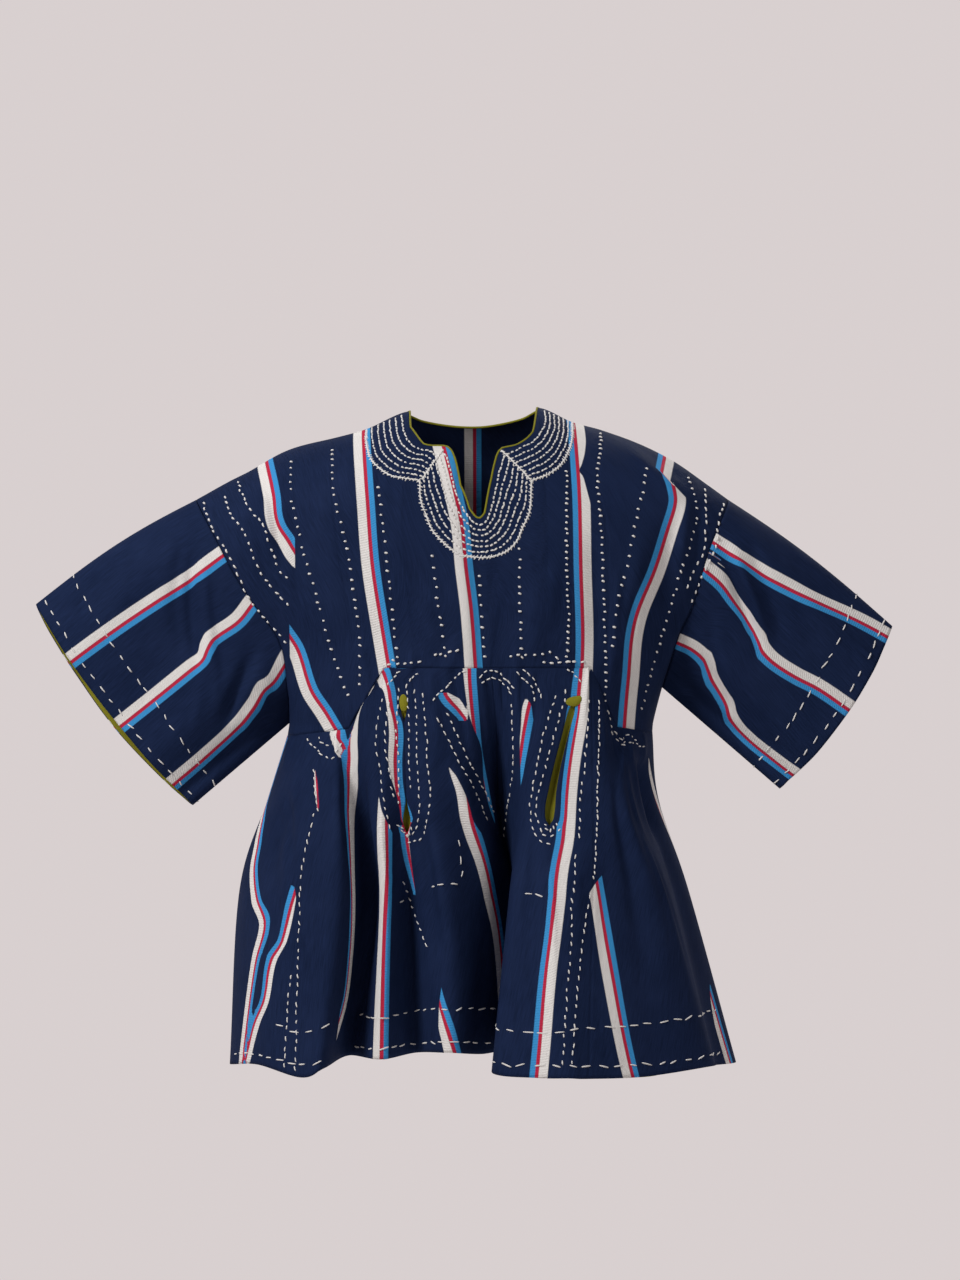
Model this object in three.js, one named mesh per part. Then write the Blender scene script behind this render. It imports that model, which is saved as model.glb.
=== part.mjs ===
// A West African fugu (strip-woven smock) hanging on its wearer, in millimetres.
// +Z is up, the front faces -Y and the wearer's left is +X. The origin is the middle of the
// neck at the height of the shoulder, where the wearer holds the smock up.
//
// Every cloth is a wall of even thickness round a surface that is worked out below. The yoke
// is a depth over its front view, the sleeves are loops carried from armhole to cuff, and the
// skirt is a ring of lengthwise fold lines. Cloths that are sewn together share the normals
// along their seam, so their edges stand face to face with a narrow gap.
import * as THREE from 'three';

// ---------------------------------------------------------------- driving dimensions
const WALL = 1.6;           // smock cloth with its seam turnings
const FACING_WALL = 1.0;    // olive facing and pocket cloth
const SEAM_GAP = 0.35;      // between cloths that are sewn together
const LAYER_GAP = 0.5;      // between a cloth and a facing that lies on it
const CUFF_FACING_ROWS = 1.4;   // rows of the sleeve that the cuff's facing covers
const HEM_FACING_ROWS = 0.6;    // rows of the skirt that the hem's facing covers
const BINDING_WIDTH = 3.0;  // olive binding on the neck edge
const BINDING_THICK = 2.4;
const SHOULDER_ROUND = 92;  // height over which the shoulder rounds into the chest
const UNDERARM_GAP = 3.2;   // clearance where the sleeve turns under into the side seam
const PROBE = 0.01;         // step for slopes and normals

const INSIDE = -(WALL + FACING_WALL) / 2 - LAYER_GAP;   // a facing's place in its cloth

const NAVY = { color: 0x1d2742, roughness: 0.85, metalness: 0 };
const OLIVE = { color: 0x8a8a22, roughness: 0.9, metalness: 0 };

// ---------------------------------------------------------------- tables of sizes
const table = (columns, rows) => rows.map((row) => (
  Object.fromEntries(columns.map((name, i) => [name, row[i]]))));

// Shoulder line seen from the front, from the right armhole over the neck to the left one.
const SHOULDER = table(['x', 'z'], [
  [-311, -97], [-275, -77], [-253, -66], [-220, -47], [-198, -38.5], [-156, -28.5],
  [-124, -19.5], [-78, 0], [0, 3], [64, 4], [101, -12], [132, -20.5], [176, -36.5],
  [214, -56], [247, -79], [272, -97]]);

// Where the sleeves join the body, and below the underarm the side seams.
const RIGHT_SEAM = table(['z', 'x'], [
  [-356, -211], [-341, -209], [-300, -209], [-252, -217], [-210, -246], [-178, -266],
  [-133, -290], [-97, -311]]);
const LEFT_SEAM = table(['z', 'x'], [
  [-352, 189], [-341, 190], [-302, 200], [-245, 216], [-211, 231], [-157, 246],
  [-117, 263], [-97, 272]]);

// Depth of the yoke at its middle and at the armholes: front, back and at the two edges.
const DEPTHS = table(['z', 'front', 'back', 'edge'], [
  [-360, 116, 96, 0], [-341, 117, 97, 0], [-300, 119, 100, 34], [-250, 119, 103, 52],
  [-200, 117, 104, 60], [-130, 110, 99, 58], [-60, 92, 82, 50], [4, 74, 58, 44]]);

// The gathered seam that joins yoke and skirt, straight from corner to corner.
const WAIST = {
  front: table(['x', 'z'], [
    [-211, -356], [-140, -346], [-102, -281], [118, -281], [146, -344], [189, -352]]),
  back: table(['x', 'z'], [[-211, -356], [189, -352]]),
};

// Lengthwise lines of the yoke front: height of the upper end (none: on the shoulder line)
// and the distance from the middle at that end, at 130 and 207 below the shoulder and at
// the waist seam.
const YOKE_LINES = table(['line', 'end', 'x0', 'x1', 'x2', 'x3'], [
  ['sleeve_row', null, -284, -262, -224, -204],
  ['shoulder_stripe', null, -239, -221, -207, -186],
  ['drape_edge', null, -218, -200, -193, -160],
  ['row_0', null, -204, -186, -170, -140],
  ['row_1', null, -162, -150, -135, -124],
  ['stripe_1', null, -130, -121, -113, -102],
  ['row_2', null, -106, -103, -94, -87],
  ['neck_right', null, -78, -84, -77, -71],
  ['collar_right', -21, -76, -68, -60, -53],
  ['row_3', -41, -61, -52, -43, -35],
  ['notch_top_right', -44, -36, -31, -22, -17],
  ['notch_right', -54, -29, -23, -14, -10],
  ['notch_side_right', -86, -22, -15, -8, -3],
  ['notch_turn_right', -112, -12, -9, -3, 1],
  ['centre', -122, -3, -3, 1, 5],
  ['notch_turn_left', -116, 6, 4, 8, 11],
  ['notch_side_left', -80, 13, 11, 14, 17],
  ['notch_left', -54, 19, 19, 21, 23],
  ['notch_top_left', -46, 24, 28, 30, 31],
  ['row_4', -41, 42, 42, 42, 42],
  ['collar_left', -27, 58, 58, 57, 57],
  ['neck_left', null, 64, 72, 71, 71],
  ['row_5', null, 96, 92, 91, 91],
  ['stripe_3', null, 113, 108, 107, 107],
  ['row_6', null, 134, 131, 132, 118],
  ['row_7', null, 170, 160, 150, 146],
  ['stripe_4', null, 202, 198, 180, 157],
  ['row_8', null, 231, 228, 204, 172]]);
const YOKE_LEVELS = { chest: -130, rib: -207 };

// Soft folds of the yoke: a line from one point to the other, its half width and how far
// the cloth stands out along it. A step lowers the cloth on the armhole side of the line.
const FRONT_FOLDS = table(['x0', 'z0', 'x1', 'z1', 'width', 'rise', 'kind'], [
  [-196, -70, -190, -262, 6, 9, 'step'],
  [-168, -60, -150, -300, 15, 4, 'ridge'],
  [-60, -190, -48, -276, 12, 4, 'ridge'],
  [60, -170, 62, -276, 14, 4, 'ridge'],
  [150, -40, 214, -92, 9, 5, 'ridge'],
  [176, -120, 150, -300, 12, 6, 'ridge'],
  [120, -120, 124, -290, 10, -4, 'ridge'],
  [205, -100, 196, -250, 12, -5, 'ridge']]);
const BACK_FOLDS = table(['x0', 'z0', 'x1', 'z1', 'width', 'rise', 'kind'], [
  [-205, -80, -188, -290, 12, 7, 'ridge'],
  [-120, -110, -96, -310, 16, 5, 'ridge'],
  [-30, -140, -22, -320, 14, 4, 'ridge'],
  [58, -120, 50, -310, 15, 5, 'ridge'],
  [128, -90, 112, -300, 13, 5, 'ridge'],
  [196, -90, 176, -270, 12, 7, 'ridge']]);

// Sleeves: upper and lower corner of the cuff, half depth there, how far the cuff bows out,
// how far the back layer stands past the front one and how much the top line arches.
const SLEEVES = [
  { side: 'right', seam: RIGHT_SEAM, sign: -1, cuffTop: [-488, -212], cuffEnd: [-316, -432],
    cuffDepth: 26, bow: 8, backLonger: 11, arch: 8, underarm: -341 },
  { side: 'left', seam: LEFT_SEAM, sign: 1, cuffTop: [453, -236], cuffEnd: [330, -414],
    cuffDepth: 24, bow: 12, backLonger: 0, arch: 7, underarm: -302 }];

// Folds of a sleeve: place round the sleeve at armhole and cuff (0 the top, 0.25 the front,
// 0.5 the underarm, 0.75 the back), half width of the fold in turns, and its rise.
const SLEEVE_FOLDS = table(['from', 'to', 'width', 'rise'], [
  [0.11, 0.16, 0.030, 5], [0.20, 0.27, 0.035, -4], [0.31, 0.34, 0.030, 6],
  [0.40, 0.42, 0.022, -5], [0.60, 0.57, 0.025, 5], [0.70, 0.72, 0.035, -4],
  [0.83, 0.80, 0.030, 6], [0.92, 0.90, 0.025, -3]]);

// Skirt: each row is one crest, valley, seam or pocket line that runs from the waist (0)
// past 427 and 526 below the shoulder (1, 2) to the hem (3). y0 follows from the waist seam.
const SKIRT_LINES = table(['line', 'x0', 'x1', 'x2', 'x3', 'y1', 'y2', 'y3', 'hem'], [
  ['side_right', -211, -233, -264, -274, 0, 0, -8, -716],
  ['crest_a', -192, -211, -230, -236, -72, -88, -104, -703],
  ['seam_right', -172, -176, -190, -187, -112, -122, -156, -709],
  ['ridge_a', -156, -150, -146, -163, -125, -142, -164, -698],
  ['valley_1', -140, -134, -124, -141, -96, -90, -92, -695],
  ['ridge_b', -102, -109, -100, -104, -124, -133, -142, -692],
  ['pocket_right', -82, -78, -76, -68, -112, -100, -98, -691],
  ['ridge_c', -58, -54, -44, -32, -131, -142, -150, -684],
  ['slope_c', -22, -10, 8, 2, -112, -106, -116, -690],
  ['valley_3', 12, 27, 42, 34, -84, -74, -86, -690],
  ['edge_d', 32, 44, 31, 13, -118, -150, -190, -699],
  ['crest_d', 64, 58, 66, 60, -134, -167, -212, -701],
  ['pocket_left', 109, 74, 83, 92, -135, -172, -215, -701],
  ['seam_left', 118, 120, 118, 112, -132, -160, -205, -703],
  ['crest_e', 146, 146, 160, 172, -122, -140, -176, -705],
  ['ridge_e', 156, 164, 198, 242, -98, -110, -126, -702],
  ['valley_e', 172, 178, 210, 254, -52, -56, -66, -709],
  ['side_left', 189, 196, 229, 281, 4, 5, 0, -715],
  ['back_a', 176, 190, 214, 256, 66, 80, 98, -720],
  ['back_b', 146, 158, 168, 186, 88, 92, 90, -716],
  ['back_c', 116, 122, 134, 148, 106, 122, 148, -724],
  ['back_d', 84, 88, 92, 98, 96, 98, 100, -716],
  ['back_e', 52, 56, 58, 58, 112, 130, 156, -724],
  ['back_f', 20, 22, 20, 16, 98, 98, 104, -716],
  ['back_g', -14, -14, -18, -28, 114, 132, 162, -724],
  ['back_h', -48, -52, -58, -68, 98, 100, 104, -716],
  ['back_i', -84, -88, -96, -108, 112, 128, 154, -724],
  ['back_j', -118, -126, -136, -150, 94, 94, 96, -716],
  ['back_k', -150, -162, -180, -196, 94, 104, 122, -722],
  ['back_l', -186, -204, -232, -244, 58, 66, 72, -717]]);
const SKIRT_LEVELS = [-427, -526];

// Pocket slits in the skirt front: half width of the gap, in steps down from its top.
const POCKETS = [
  { side: 'right', line: 'pocket_right', gap: [0, 3.4, 1.2, 1.0, 4.2, 0] },
  { side: 'left', line: 'pocket_left', gap: [0, 4.6, 5, 5.4, 6.4, 0] }];

// ---------------------------------------------------------------- curves
const mix = (a, b, t) => a + (b - a) * t;
const clamp = (t) => Math.min(Math.max(t, 0), 1);
const ease = (t) => clamp(t) ** 2 * (3 - 2 * clamp(t));

// Smooth curve through the values at rising places, level beyond both ends.
function through(at, values) {
  const last = at.length - 1;
  const slopes = values.map((_, i) => {
    const [a, b] = [Math.max(i - 1, 0), Math.min(i + 1, last)];
    return (values[b] - values[a]) / (at[b] - at[a]);
  });
  return (x) => {
    if (x <= at[0]) return values[0];
    if (x >= at[last]) return values[last];
    const i = at.findIndex((place, k) => k < last && x <= at[k + 1]);
    const w = at[i + 1] - at[i];
    const t = (x - at[i]) / w;
    const bend = t * (1 - t) * w * (slopes[i] * (1 - t) - slopes[i + 1] * t);
    const share = t * t * (3 - 2 * t);
    return mix(values[i], values[i + 1], share) + bend;
  };
}

// Straight lines from value to value.
function straight(at, values) {
  const last = at.length - 1;
  return (x) => {
    const i = Math.min(Math.max(at.findIndex((place) => x <= place), 1), last);
    return mix(values[i - 1], values[i], (x - at[i - 1]) / (at[i] - at[i - 1]));
  };
}

const along = (rows, at, value) => through(rows.map((r) => r[at]), rows.map((r) => r[value]));
const shoulder = along(SHOULDER, 'x', 'z');
const rightSeam = along(RIGHT_SEAM, 'z', 'x');
const leftSeam = along(LEFT_SEAM, 'z', 'x');
const waist = Object.fromEntries(['front', 'back'].map((side) => [
  side, straight(WAIST[side].map((r) => r.x), WAIST[side].map((r) => r.z))]));
const depth = {
  front: along(DEPTHS, 'z', 'front'),
  back: along(DEPTHS, 'z', 'back'),
  edge: along(DEPTHS, 'z', 'edge'),
};

// ---------------------------------------------------------------- yoke
// How far one fold lifts the cloth at (x, z): a bell or a step across its line, fading out
// at both ends.
function foldLift(fold, x, z) {
  const [dx, dz] = [fold.x1 - fold.x0, fold.z1 - fold.z0];
  const length = Math.hypot(dx, dz);
  const t = ((x - fold.x0) * dx + (z - fold.z0) * dz) / length ** 2;
  const aside = ((x - fold.x0) * dz - (z - fold.z0) * dx) / length / fold.width;
  const fade = ease(t * 3) * ease((1 - t) * 3);
  if (fold.kind === 'step') {
    return -fold.rise * fade * ease(0.5 + aside / 2) * Math.exp(-Math.max(aside, 0) / 6);
  }
  return fold.rise * fade * Math.exp(-(aside ** 2));
}

const underarm = (x) => (x < 0 ? SLEEVES[0].underarm : SLEEVES[1].underarm);

// Depth of the yoke at (x, z): full in the middle, the edge depth at the armholes, a round
// side below the underarm, and rounded over to nothing at the shoulder line.
function yokeDepth(side, x, z) {
  const [left, right] = [leftSeam(z), rightSeam(z)];
  const middle = (left + right) / 2;
  const across = clamp(Math.abs(x - middle) / ((left - right) / 2));
  const under = underarm(x - middle);
  const power = mix(1, 0.5, ease((under + 110 - z) / 110));
  const edge = depth.edge(z + (SLEEVES[0].underarm - under));
  const full = mix(edge, depth[side](z), (1 - across ** 2.4) ** power);
  const fall = clamp((shoulder(x) - z) / SHOULDER_ROUND);
  const folds = (side === 'front' ? FRONT_FOLDS : BACK_FOLDS)
    .reduce((sum, fold) => sum + foldLift(fold, x, z), 0);
  return Math.max(full + folds, 0) * Math.sqrt(1 - (1 - fall) ** 2);
}

const sideSign = { front: -1, back: 1 };
function yokePoint(side, x, z) {
  return new THREE.Vector3(x, sideSign[side] * yokeDepth(side, x, z), z);
}

function yokeNormal(side, x, z) {
  const sideSeam = x < 0 ? rightSeam(z) : leftSeam(z);
  if (z <= underarm(x) && Math.abs(x - sideSeam) < PROBE) {
    return new THREE.Vector3(Math.sign(x), 0, 0);
  }
  const low = Math.min(z, shoulder(x) - 2 * PROBE);
  const slopeX = (yokeDepth(side, x + PROBE, low) - yokeDepth(side, x - PROBE, low)) / PROBE / 2;
  const slopeZ = (yokeDepth(side, x, low + PROBE) - yokeDepth(side, x, low - PROBE)) / PROBE / 2;
  return new THREE.Vector3(-slopeX, sideSign[side], -slopeZ).normalize();
}

// One lengthwise line of the yoke front: its two ends and where it lies at a height.
function yokeLine(row) {
  const start = waist.front(row.x3);
  const end = row.end ?? shoulder(row.x0);
  const levels = [start, YOKE_LEVELS.rib, Math.min(YOKE_LEVELS.chest, end - 14), end];
  return { start, end, at: through(levels, [row.x3, row.x2, row.x1, row.x0]) };
}

const armholeLines = {
  right: { start: waist.front(-211), end: shoulder(-311), at: rightSeam },
  left: { start: waist.front(189), end: shoulder(272), at: leftSeam },
};
const frontLines = [armholeLines.right, ...YOKE_LINES.map(yokeLine), armholeLines.left];

// Lines of the back: evenly spread between the armholes, with a shallow neck.
const BACK_NECK_DROP = 18;
const BACK_COLUMNS = 26;
function backLine(share) {
  const [a, b] = [-311, 272];
  const x0 = mix(a, b, share);
  const inNeck = clamp(1 - ((x0 + 7) / 71) ** 2);
  const end = shoulder(x0) - BACK_NECK_DROP * Math.sqrt(inNeck);
  const start = waist.back(mix(rightSeam(-354), leftSeam(-354), share));
  return { start, end, at: (z) => mix(rightSeam(z), leftSeam(z), share) };
}
const backShares = [...Array(BACK_COLUMNS + 1).keys()].map((i) => i / BACK_COLUMNS);
const backLines = [armholeLines.right, ...backShares.slice(1, -1).map(backLine),
  armholeLines.left];

// ---------------------------------------------------------------- cloth from a grid
// A cloth is a grid of points with a normal at each, some of whose columns may be slit open.
function sheet(columns, rows, pointAt, normalAt) {
  const points = [];
  const normals = [];
  for (let i = 0; i < columns; i += 1) {
    for (let j = 0; j < rows; j += 1) {
      points.push(pointAt(i, j));
      normals.push(normalAt(i, j, points[points.length - 1]));
    }
  }
  return { columns, rows, points, normals };
}

function gridFaces({ columns, rows }, closed) {
  const faces = [];
  for (let i = 0; i < columns - (closed ? 0 : 1); i += 1) {
    for (let j = 0; j < rows - 1; j += 1) {
      const [a, b] = [i * rows + j, ((i + 1) % columns) * rows + j];
      faces.push([a, a + 1, b + 1, b]);
    }
  }
  return faces;
}

// Opens a column of the grid between two rows: the faces on its far side get their own
// points, and both sides move apart by the half widths given down the slit.
function openSlit(grid, faces, column, first, halfGaps) {
  const { rows, points, normals } = grid;
  halfGaps.forEach((half, k) => {
    if (k === 0 || k === halfGaps.length - 1) return;
    const near = column * rows + first + k;
    const across = points[near + rows].clone().sub(points[near - rows]).normalize();
    const far = points.length;
    points.push(points[near].clone().addScaledVector(across, half));
    normals.push(normals[near]);
    points[near].addScaledVector(across, -half);
    faces.forEach((face) => {
      const farSide = face.every((p) => p >= rows * column || p === near);
      if (farSide) face.forEach((p, c) => { if (p === near) face[c] = far; });
    });
  });
}

// Closed wall round the grid: both faces moved out by half the thickness, and a rim along
// every open edge. `lift` moves the whole wall along the normals.
function wall({ points, normals }, faces, thickness, lift = 0, outward = 1) {
  const count = points.length;
  const vertices = [0.5, -0.5].flatMap((half) => points.map((p, i) => (
    p.clone().addScaledVector(normals[i], lift + half * thickness))));
  const triangles = [];
  const quad = (a, b, c, d) => (outward > 0
    ? triangles.push(a, b, c, a, c, d) : triangles.push(a, c, b, a, d, c));
  const edges = new Map();
  faces.forEach((f) => {
    quad(f[0], f[1], f[2], f[3]);
    quad(f[3] + count, f[2] + count, f[1] + count, f[0] + count);
    f.forEach((a, k) => edges.set(`${a} ${f[(k + 1) % 4]}`, [a, f[(k + 1) % 4]]));
  });
  edges.forEach(([a, b]) => {
    if (!edges.has(`${b} ${a}`)) quad(b, a, a + count, b + count);
  });
  const geometry = new THREE.BufferGeometry();
  geometry.setAttribute('position', new THREE.Float32BufferAttribute(
    vertices.flatMap((v) => v.toArray()), 3));
  geometry.setIndex(triangles);
  return geometry;
}

// The grid's last rows, as the base of a facing; a part of a row is a fraction.
function lastRows({ columns, rows, points, normals }, count) {
  const places = [...Array(Math.ceil(count) + 1).keys()].map((k) => (
    Math.max(rows - 1 - count, rows - 1 - Math.ceil(count) + k)));
  const between = (list, i, place) => {
    const row = Math.min(Math.floor(place), rows - 2);
    return list[i * rows + row].clone().lerp(list[i * rows + row + 1], place - row);
  };
  return sheet(columns, places.length, (i, j) => between(points, i, places[j]),
    (i, j) => between(normals, i, places[j]).normalize());
}

// Moves the outermost points of a grid's edge inwards, so that it stands clear of the
// cloth that it is sewn to.
function trim(grid, edge, gap) {
  const { columns, rows, points } = grid;
  const pairs = {
    first: [...Array(rows).keys()].map((j) => [j, rows + j]),
    last: [...Array(rows).keys()].map((j) => [(columns - 1) * rows + j, (columns - 2) * rows + j]),
    top: [...Array(columns).keys()].map((i) => [i * rows, i * rows + 1]),
    bottom: [...Array(columns).keys()].map((i) => [i * rows + rows - 1, i * rows + rows - 2]),
  }[edge];
  pairs.forEach(([outer, inner]) => {
    const inwards = points[inner].clone().sub(points[outer]).normalize();
    points[outer].addScaledVector(inwards, gap / 2);
  });
}

// ---------------------------------------------------------------- the yoke's cloths
const YOKE_ROWS = 15;
const ROW_CROWDING = 1.5;   // rows stand closer where the shoulder rounds over

function yokeCloth(side, lines) {
  const height = (i, j) => mix(lines[i].end, lines[i].start,
    (j / (YOKE_ROWS - 1)) ** ROW_CROWDING);
  const grid = sheet(lines.length, YOKE_ROWS,
    (i, j) => yokePoint(side, lines[i].at(height(i, j)), height(i, j)),
    (i, j, p) => yokeNormal(side, p.x, p.z));
  ['first', 'last'].forEach((edge) => trim(grid, edge, 2 * SEAM_GAP));
  ['top', 'bottom'].forEach((edge) => trim(grid, edge, SEAM_GAP));
  return wall(grid, gridFaces(grid), WALL, 0, -sideSign[side]);
}

// ---------------------------------------------------------------- neck binding
// Edge of the neck: the front from right to left, then the back from left to right.
function neckEdge() {
  const front = frontLines.slice(8, 23).map((line) => ['front', line.at(line.end), line.end]);
  const back = backLines.filter((line) => Math.abs(line.at(line.end) + 7) < 68)
    .map((line) => ['back', line.at(line.end), line.end]).reverse();
  return [...front, ...back].map(([side, x, z]) => (
    { point: yokePoint(side, x, z), normal: yokeNormal(side, x, z) }));
}

// The binding is a small oval section carried round the neck just inside the cloth's edge.
const BINDING_SIDES = 8;
function neckBinding() {
  const loop = neckEdge();
  const grid = { columns: loop.length, rows: BINDING_SIDES, points: [] };
  loop.forEach(({ point, normal }, i) => {
    const after = loop[(i + 1) % loop.length].point;
    const before = loop[(i - 1 + loop.length) % loop.length].point;
    const ahead = after.clone().sub(before).normalize();
    const inwards = normal.clone().cross(ahead).normalize();
    const centre = point.clone().addScaledVector(inwards, BINDING_WIDTH / 2 + SEAM_GAP);
    for (let k = 0; k < BINDING_SIDES; k += 1) {
      const turn = (2 * Math.PI * k) / BINDING_SIDES;
      grid.points.push(centre.clone()
        .addScaledVector(inwards, (BINDING_WIDTH / 2) * Math.cos(turn))
        .addScaledVector(normal, (BINDING_THICK / 2) * Math.sin(turn)));
    }
  });
  return ring(grid);
}

// Closed ring of closed sections.
function ring({ columns, rows, points }) {
  const triangles = [];
  for (let i = 0; i < columns; i += 1) {
    for (let k = 0; k < rows; k += 1) {
      const [a, b] = [i * rows, ((i + 1) % columns) * rows];
      const [k0, k1] = [k, (k + 1) % rows];
      triangles.push(a + k0, b + k1, b + k0, a + k0, a + k1, b + k1);
    }
  }
  const geometry = new THREE.BufferGeometry();
  geometry.setAttribute('position', new THREE.Float32BufferAttribute(
    points.flatMap((p) => p.toArray()), 3));
  geometry.setIndex(triangles);
  return geometry;
}

// ---------------------------------------------------------------- sleeves
const SLEEVE_COLUMNS = 48;
const SLEEVE_ROWS = 13;
const wrap = (t) => t - Math.floor(t);

// The armhole loop at turn w: front downwards for the first half, back upwards after it.
function armholePoint(sleeve, w) {
  const share = (1 - Math.cos(2 * Math.PI * w)) / 2;
  const z = mix(armholeLines[sleeve.side].end, sleeve.underarm, share);
  const x = (sleeve.side === 'right' ? rightSeam : leftSeam)(z);
  return { side: w <= 0.5 ? 'front' : 'back', x, z };
}

function cuffPoint(sleeve, w) {
  const share = (1 - Math.cos(2 * Math.PI * w)) / 2;
  const round = Math.sin(Math.PI * share);
  const reach = sleeve.bow * round + (w > 0.5 ? sleeve.backLonger * round ** 0.5 : 0);
  return new THREE.Vector3(
    mix(sleeve.cuffTop[0], sleeve.cuffEnd[0], share) + sleeve.sign * reach * 0.8,
    -sleeve.cuffDepth * Math.sin(2 * Math.PI * w),
    mix(sleeve.cuffTop[1], sleeve.cuffEnd[1], share) - reach * 0.6);
}

// Sleeve at s (0 the armhole, 1 the cuff) and turn w.
function sleevePoint(sleeve, s, turn) {
  const w = wrap(turn);
  const start = armholePoint(sleeve, w);
  const point = yokePoint(start.side, start.x, start.z).lerp(cuffPoint(sleeve, w), s);
  const swell = Math.sin(Math.PI * s);
  const lift = SLEEVE_FOLDS.reduce((sum, fold) => {
    const aside = (w - mix(fold.from, fold.to, s)) / fold.width;
    return sum + fold.rise * Math.exp(-(aside ** 2));
  }, 0) * ease(s * 4) * ease((1.25 - s) * 3);
  point.y += (w <= 0.5 ? -1 : 1) * lift;
  point.z += sleeve.arch * swell * Math.cos(Math.PI * w) ** 2;
  return point;
}

function sleeveNormal(sleeve, s, w) {
  const step = 0.002;
  const [s0, s1] = [Math.max(s - step, 0), Math.min(s + step, 1)];
  const lengthwise = sleevePoint(sleeve, s1, w).sub(sleevePoint(sleeve, s0, w));
  const round = sleevePoint(sleeve, s, w + step).sub(sleevePoint(sleeve, s, w - step));
  return round.cross(lengthwise).multiplyScalar(-sleeve.sign).normalize();
}

function sleeveGrid(sleeve) {
  const place = (i, j) => [j / (SLEEVE_ROWS - 1), i / SLEEVE_COLUMNS];
  return sheet(SLEEVE_COLUMNS, SLEEVE_ROWS, (i, j) => sleevePoint(sleeve, ...place(i, j)),
    (i, j) => {
      const start = armholePoint(sleeve, i / SLEEVE_COLUMNS);
      return j === 0 ? yokeNormal(start.side, start.x, start.z)
        : sleeveNormal(sleeve, ...place(i, j));
    });
}

// The sleeve starts just outside the armhole, further out where it turns under the arm.
function sleeveCloth(sleeve) {
  const grid = sleeveGrid(sleeve);
  for (let i = 0; i < SLEEVE_COLUMNS; i += 1) {
    const share = (1 - Math.cos((2 * Math.PI * i) / SLEEVE_COLUMNS)) / 2;
    const under = ease((share - 0.4) / 0.45);
    const [first, second] = [grid.points[i * SLEEVE_ROWS], grid.points[i * SLEEVE_ROWS + 1]];
    const outwards = second.clone().sub(first).normalize();
    first.addScaledVector(outwards, mix(SEAM_GAP, UNDERARM_GAP, under));
    if (under > 0.5) grid.normals[i * SLEEVE_ROWS].copy(grid.normals[i * SLEEVE_ROWS + 1]);
  }
  return wall(grid, gridFaces(grid, true), WALL, 0, sleeve.sign);
}

function cuffFacing(sleeve) {
  const band = lastRows(sleeveGrid(sleeve), CUFF_FACING_ROWS);
  return wall(band, gridFaces(band, true), FACING_WALL, INSIDE, sleeve.sign);
}

// ---------------------------------------------------------------- skirt
const SKIRT_STEPS = 3;      // columns between two fold lines
const SKIRT_ROWS = 15;
const lineCount = SKIRT_LINES.length;
const lineIndex = (name) => SKIRT_LINES.findIndex((row) => row.line === name);

// A fold line as a path down the skirt, v from 0 at the waist to 3 at the hem.
const skirtPaths = SKIRT_LINES.map((row, i) => {
  const side = i > lineIndex('side_left') ? 'back' : 'front';
  const z0 = waist[side](row.x0);
  const y0 = yokePoint(side, row.x0, z0).y;
  const at = [0, 1, 2, 3];
  return {
    x: through(at, [row.x0, row.x1, row.x2, row.x3]),
    y: through(at, [y0, row.y1, row.y2, row.y3]),
    z: through(at, [z0, ...SKIRT_LEVELS, row.hem]),
  };
});

// Catmull-Rom curve round the ring of fold lines, u counted in lines from the right side.
function skirtPoint(u, v) {
  const i = Math.floor(u);
  const t = u - i;
  const weights = [
    -0.5 * t + t * t - 0.5 * t ** 3, 1 - 2.5 * t * t + 1.5 * t ** 3,
    0.5 * t + 2 * t * t - 1.5 * t ** 3, -0.5 * t * t + 0.5 * t ** 3];
  const point = new THREE.Vector3();
  weights.forEach((weight, k) => {
    const path = skirtPaths[(((i + k - 1) % lineCount) + lineCount) % lineCount];
    point.add(new THREE.Vector3(path.x(v), path.y(v), path.z(v)).multiplyScalar(weight));
  });
  return v > 0 ? point : onWaist(point, u);
}

// The upper edge lies exactly on the waist seam of the yoke.
function onWaist(point, u) {
  const side = u > lineIndex('side_left') ? 'back' : 'front';
  return yokePoint(side, point.x, waist[side](point.x));
}

function skirtNormal(u, v) {
  if (v === 0) {
    const top = skirtPoint(u, 0);
    return yokeNormal(u > lineIndex('side_left') ? 'back' : 'front', top.x, top.z);
  }
  const step = 0.004;
  const down = skirtPoint(u, Math.min(v + step, 3)).sub(skirtPoint(u, Math.max(v - step, PROBE)));
  return skirtPoint(u + step, v).sub(skirtPoint(u - step, v)).cross(down).negate().normalize();
}

function skirtGrid(from, to) {
  const place = (i, j) => [from + i / SKIRT_STEPS, mix(0, 3, j / (SKIRT_ROWS - 1))];
  return sheet(Math.round((to - from) * SKIRT_STEPS) + 1, SKIRT_ROWS,
    (i, j) => skirtPoint(...place(i, j)), (i, j) => skirtNormal(...place(i, j)));
}

const SKIRT_PANELS = [
  { name: 'skirt_front_right', hem: 'hem_facing_front_right', from: 'side_right',
    to: 'valley_3', pocket: POCKETS[0] },
  { name: 'skirt_front_left', hem: 'hem_facing_front_left', from: 'valley_3',
    to: 'side_left', pocket: POCKETS[1] },
  { name: 'skirt_back', hem: 'hem_facing_back', from: 'side_left', to: 'side_right' }];

function panelSpan(panel) {
  const from = lineIndex(panel.from);
  const to = lineIndex(panel.to);
  return [from, to > from ? to : to + lineCount];
}

function skirtCloth(panel) {
  const [from, to] = panelSpan(panel);
  const grid = skirtGrid(from, to);
  ['first', 'last'].forEach((edge) => trim(grid, edge, 2 * SEAM_GAP));
  trim(grid, 'top', SEAM_GAP);
  const faces = gridFaces(grid);
  if (panel.pocket) {
    const column = (lineIndex(panel.pocket.line) - from) * SKIRT_STEPS;
    openSlit(grid, faces, column, 1, panel.pocket.gap);
  }
  return wall(grid, faces, WALL, 0, 1);
}

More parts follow.
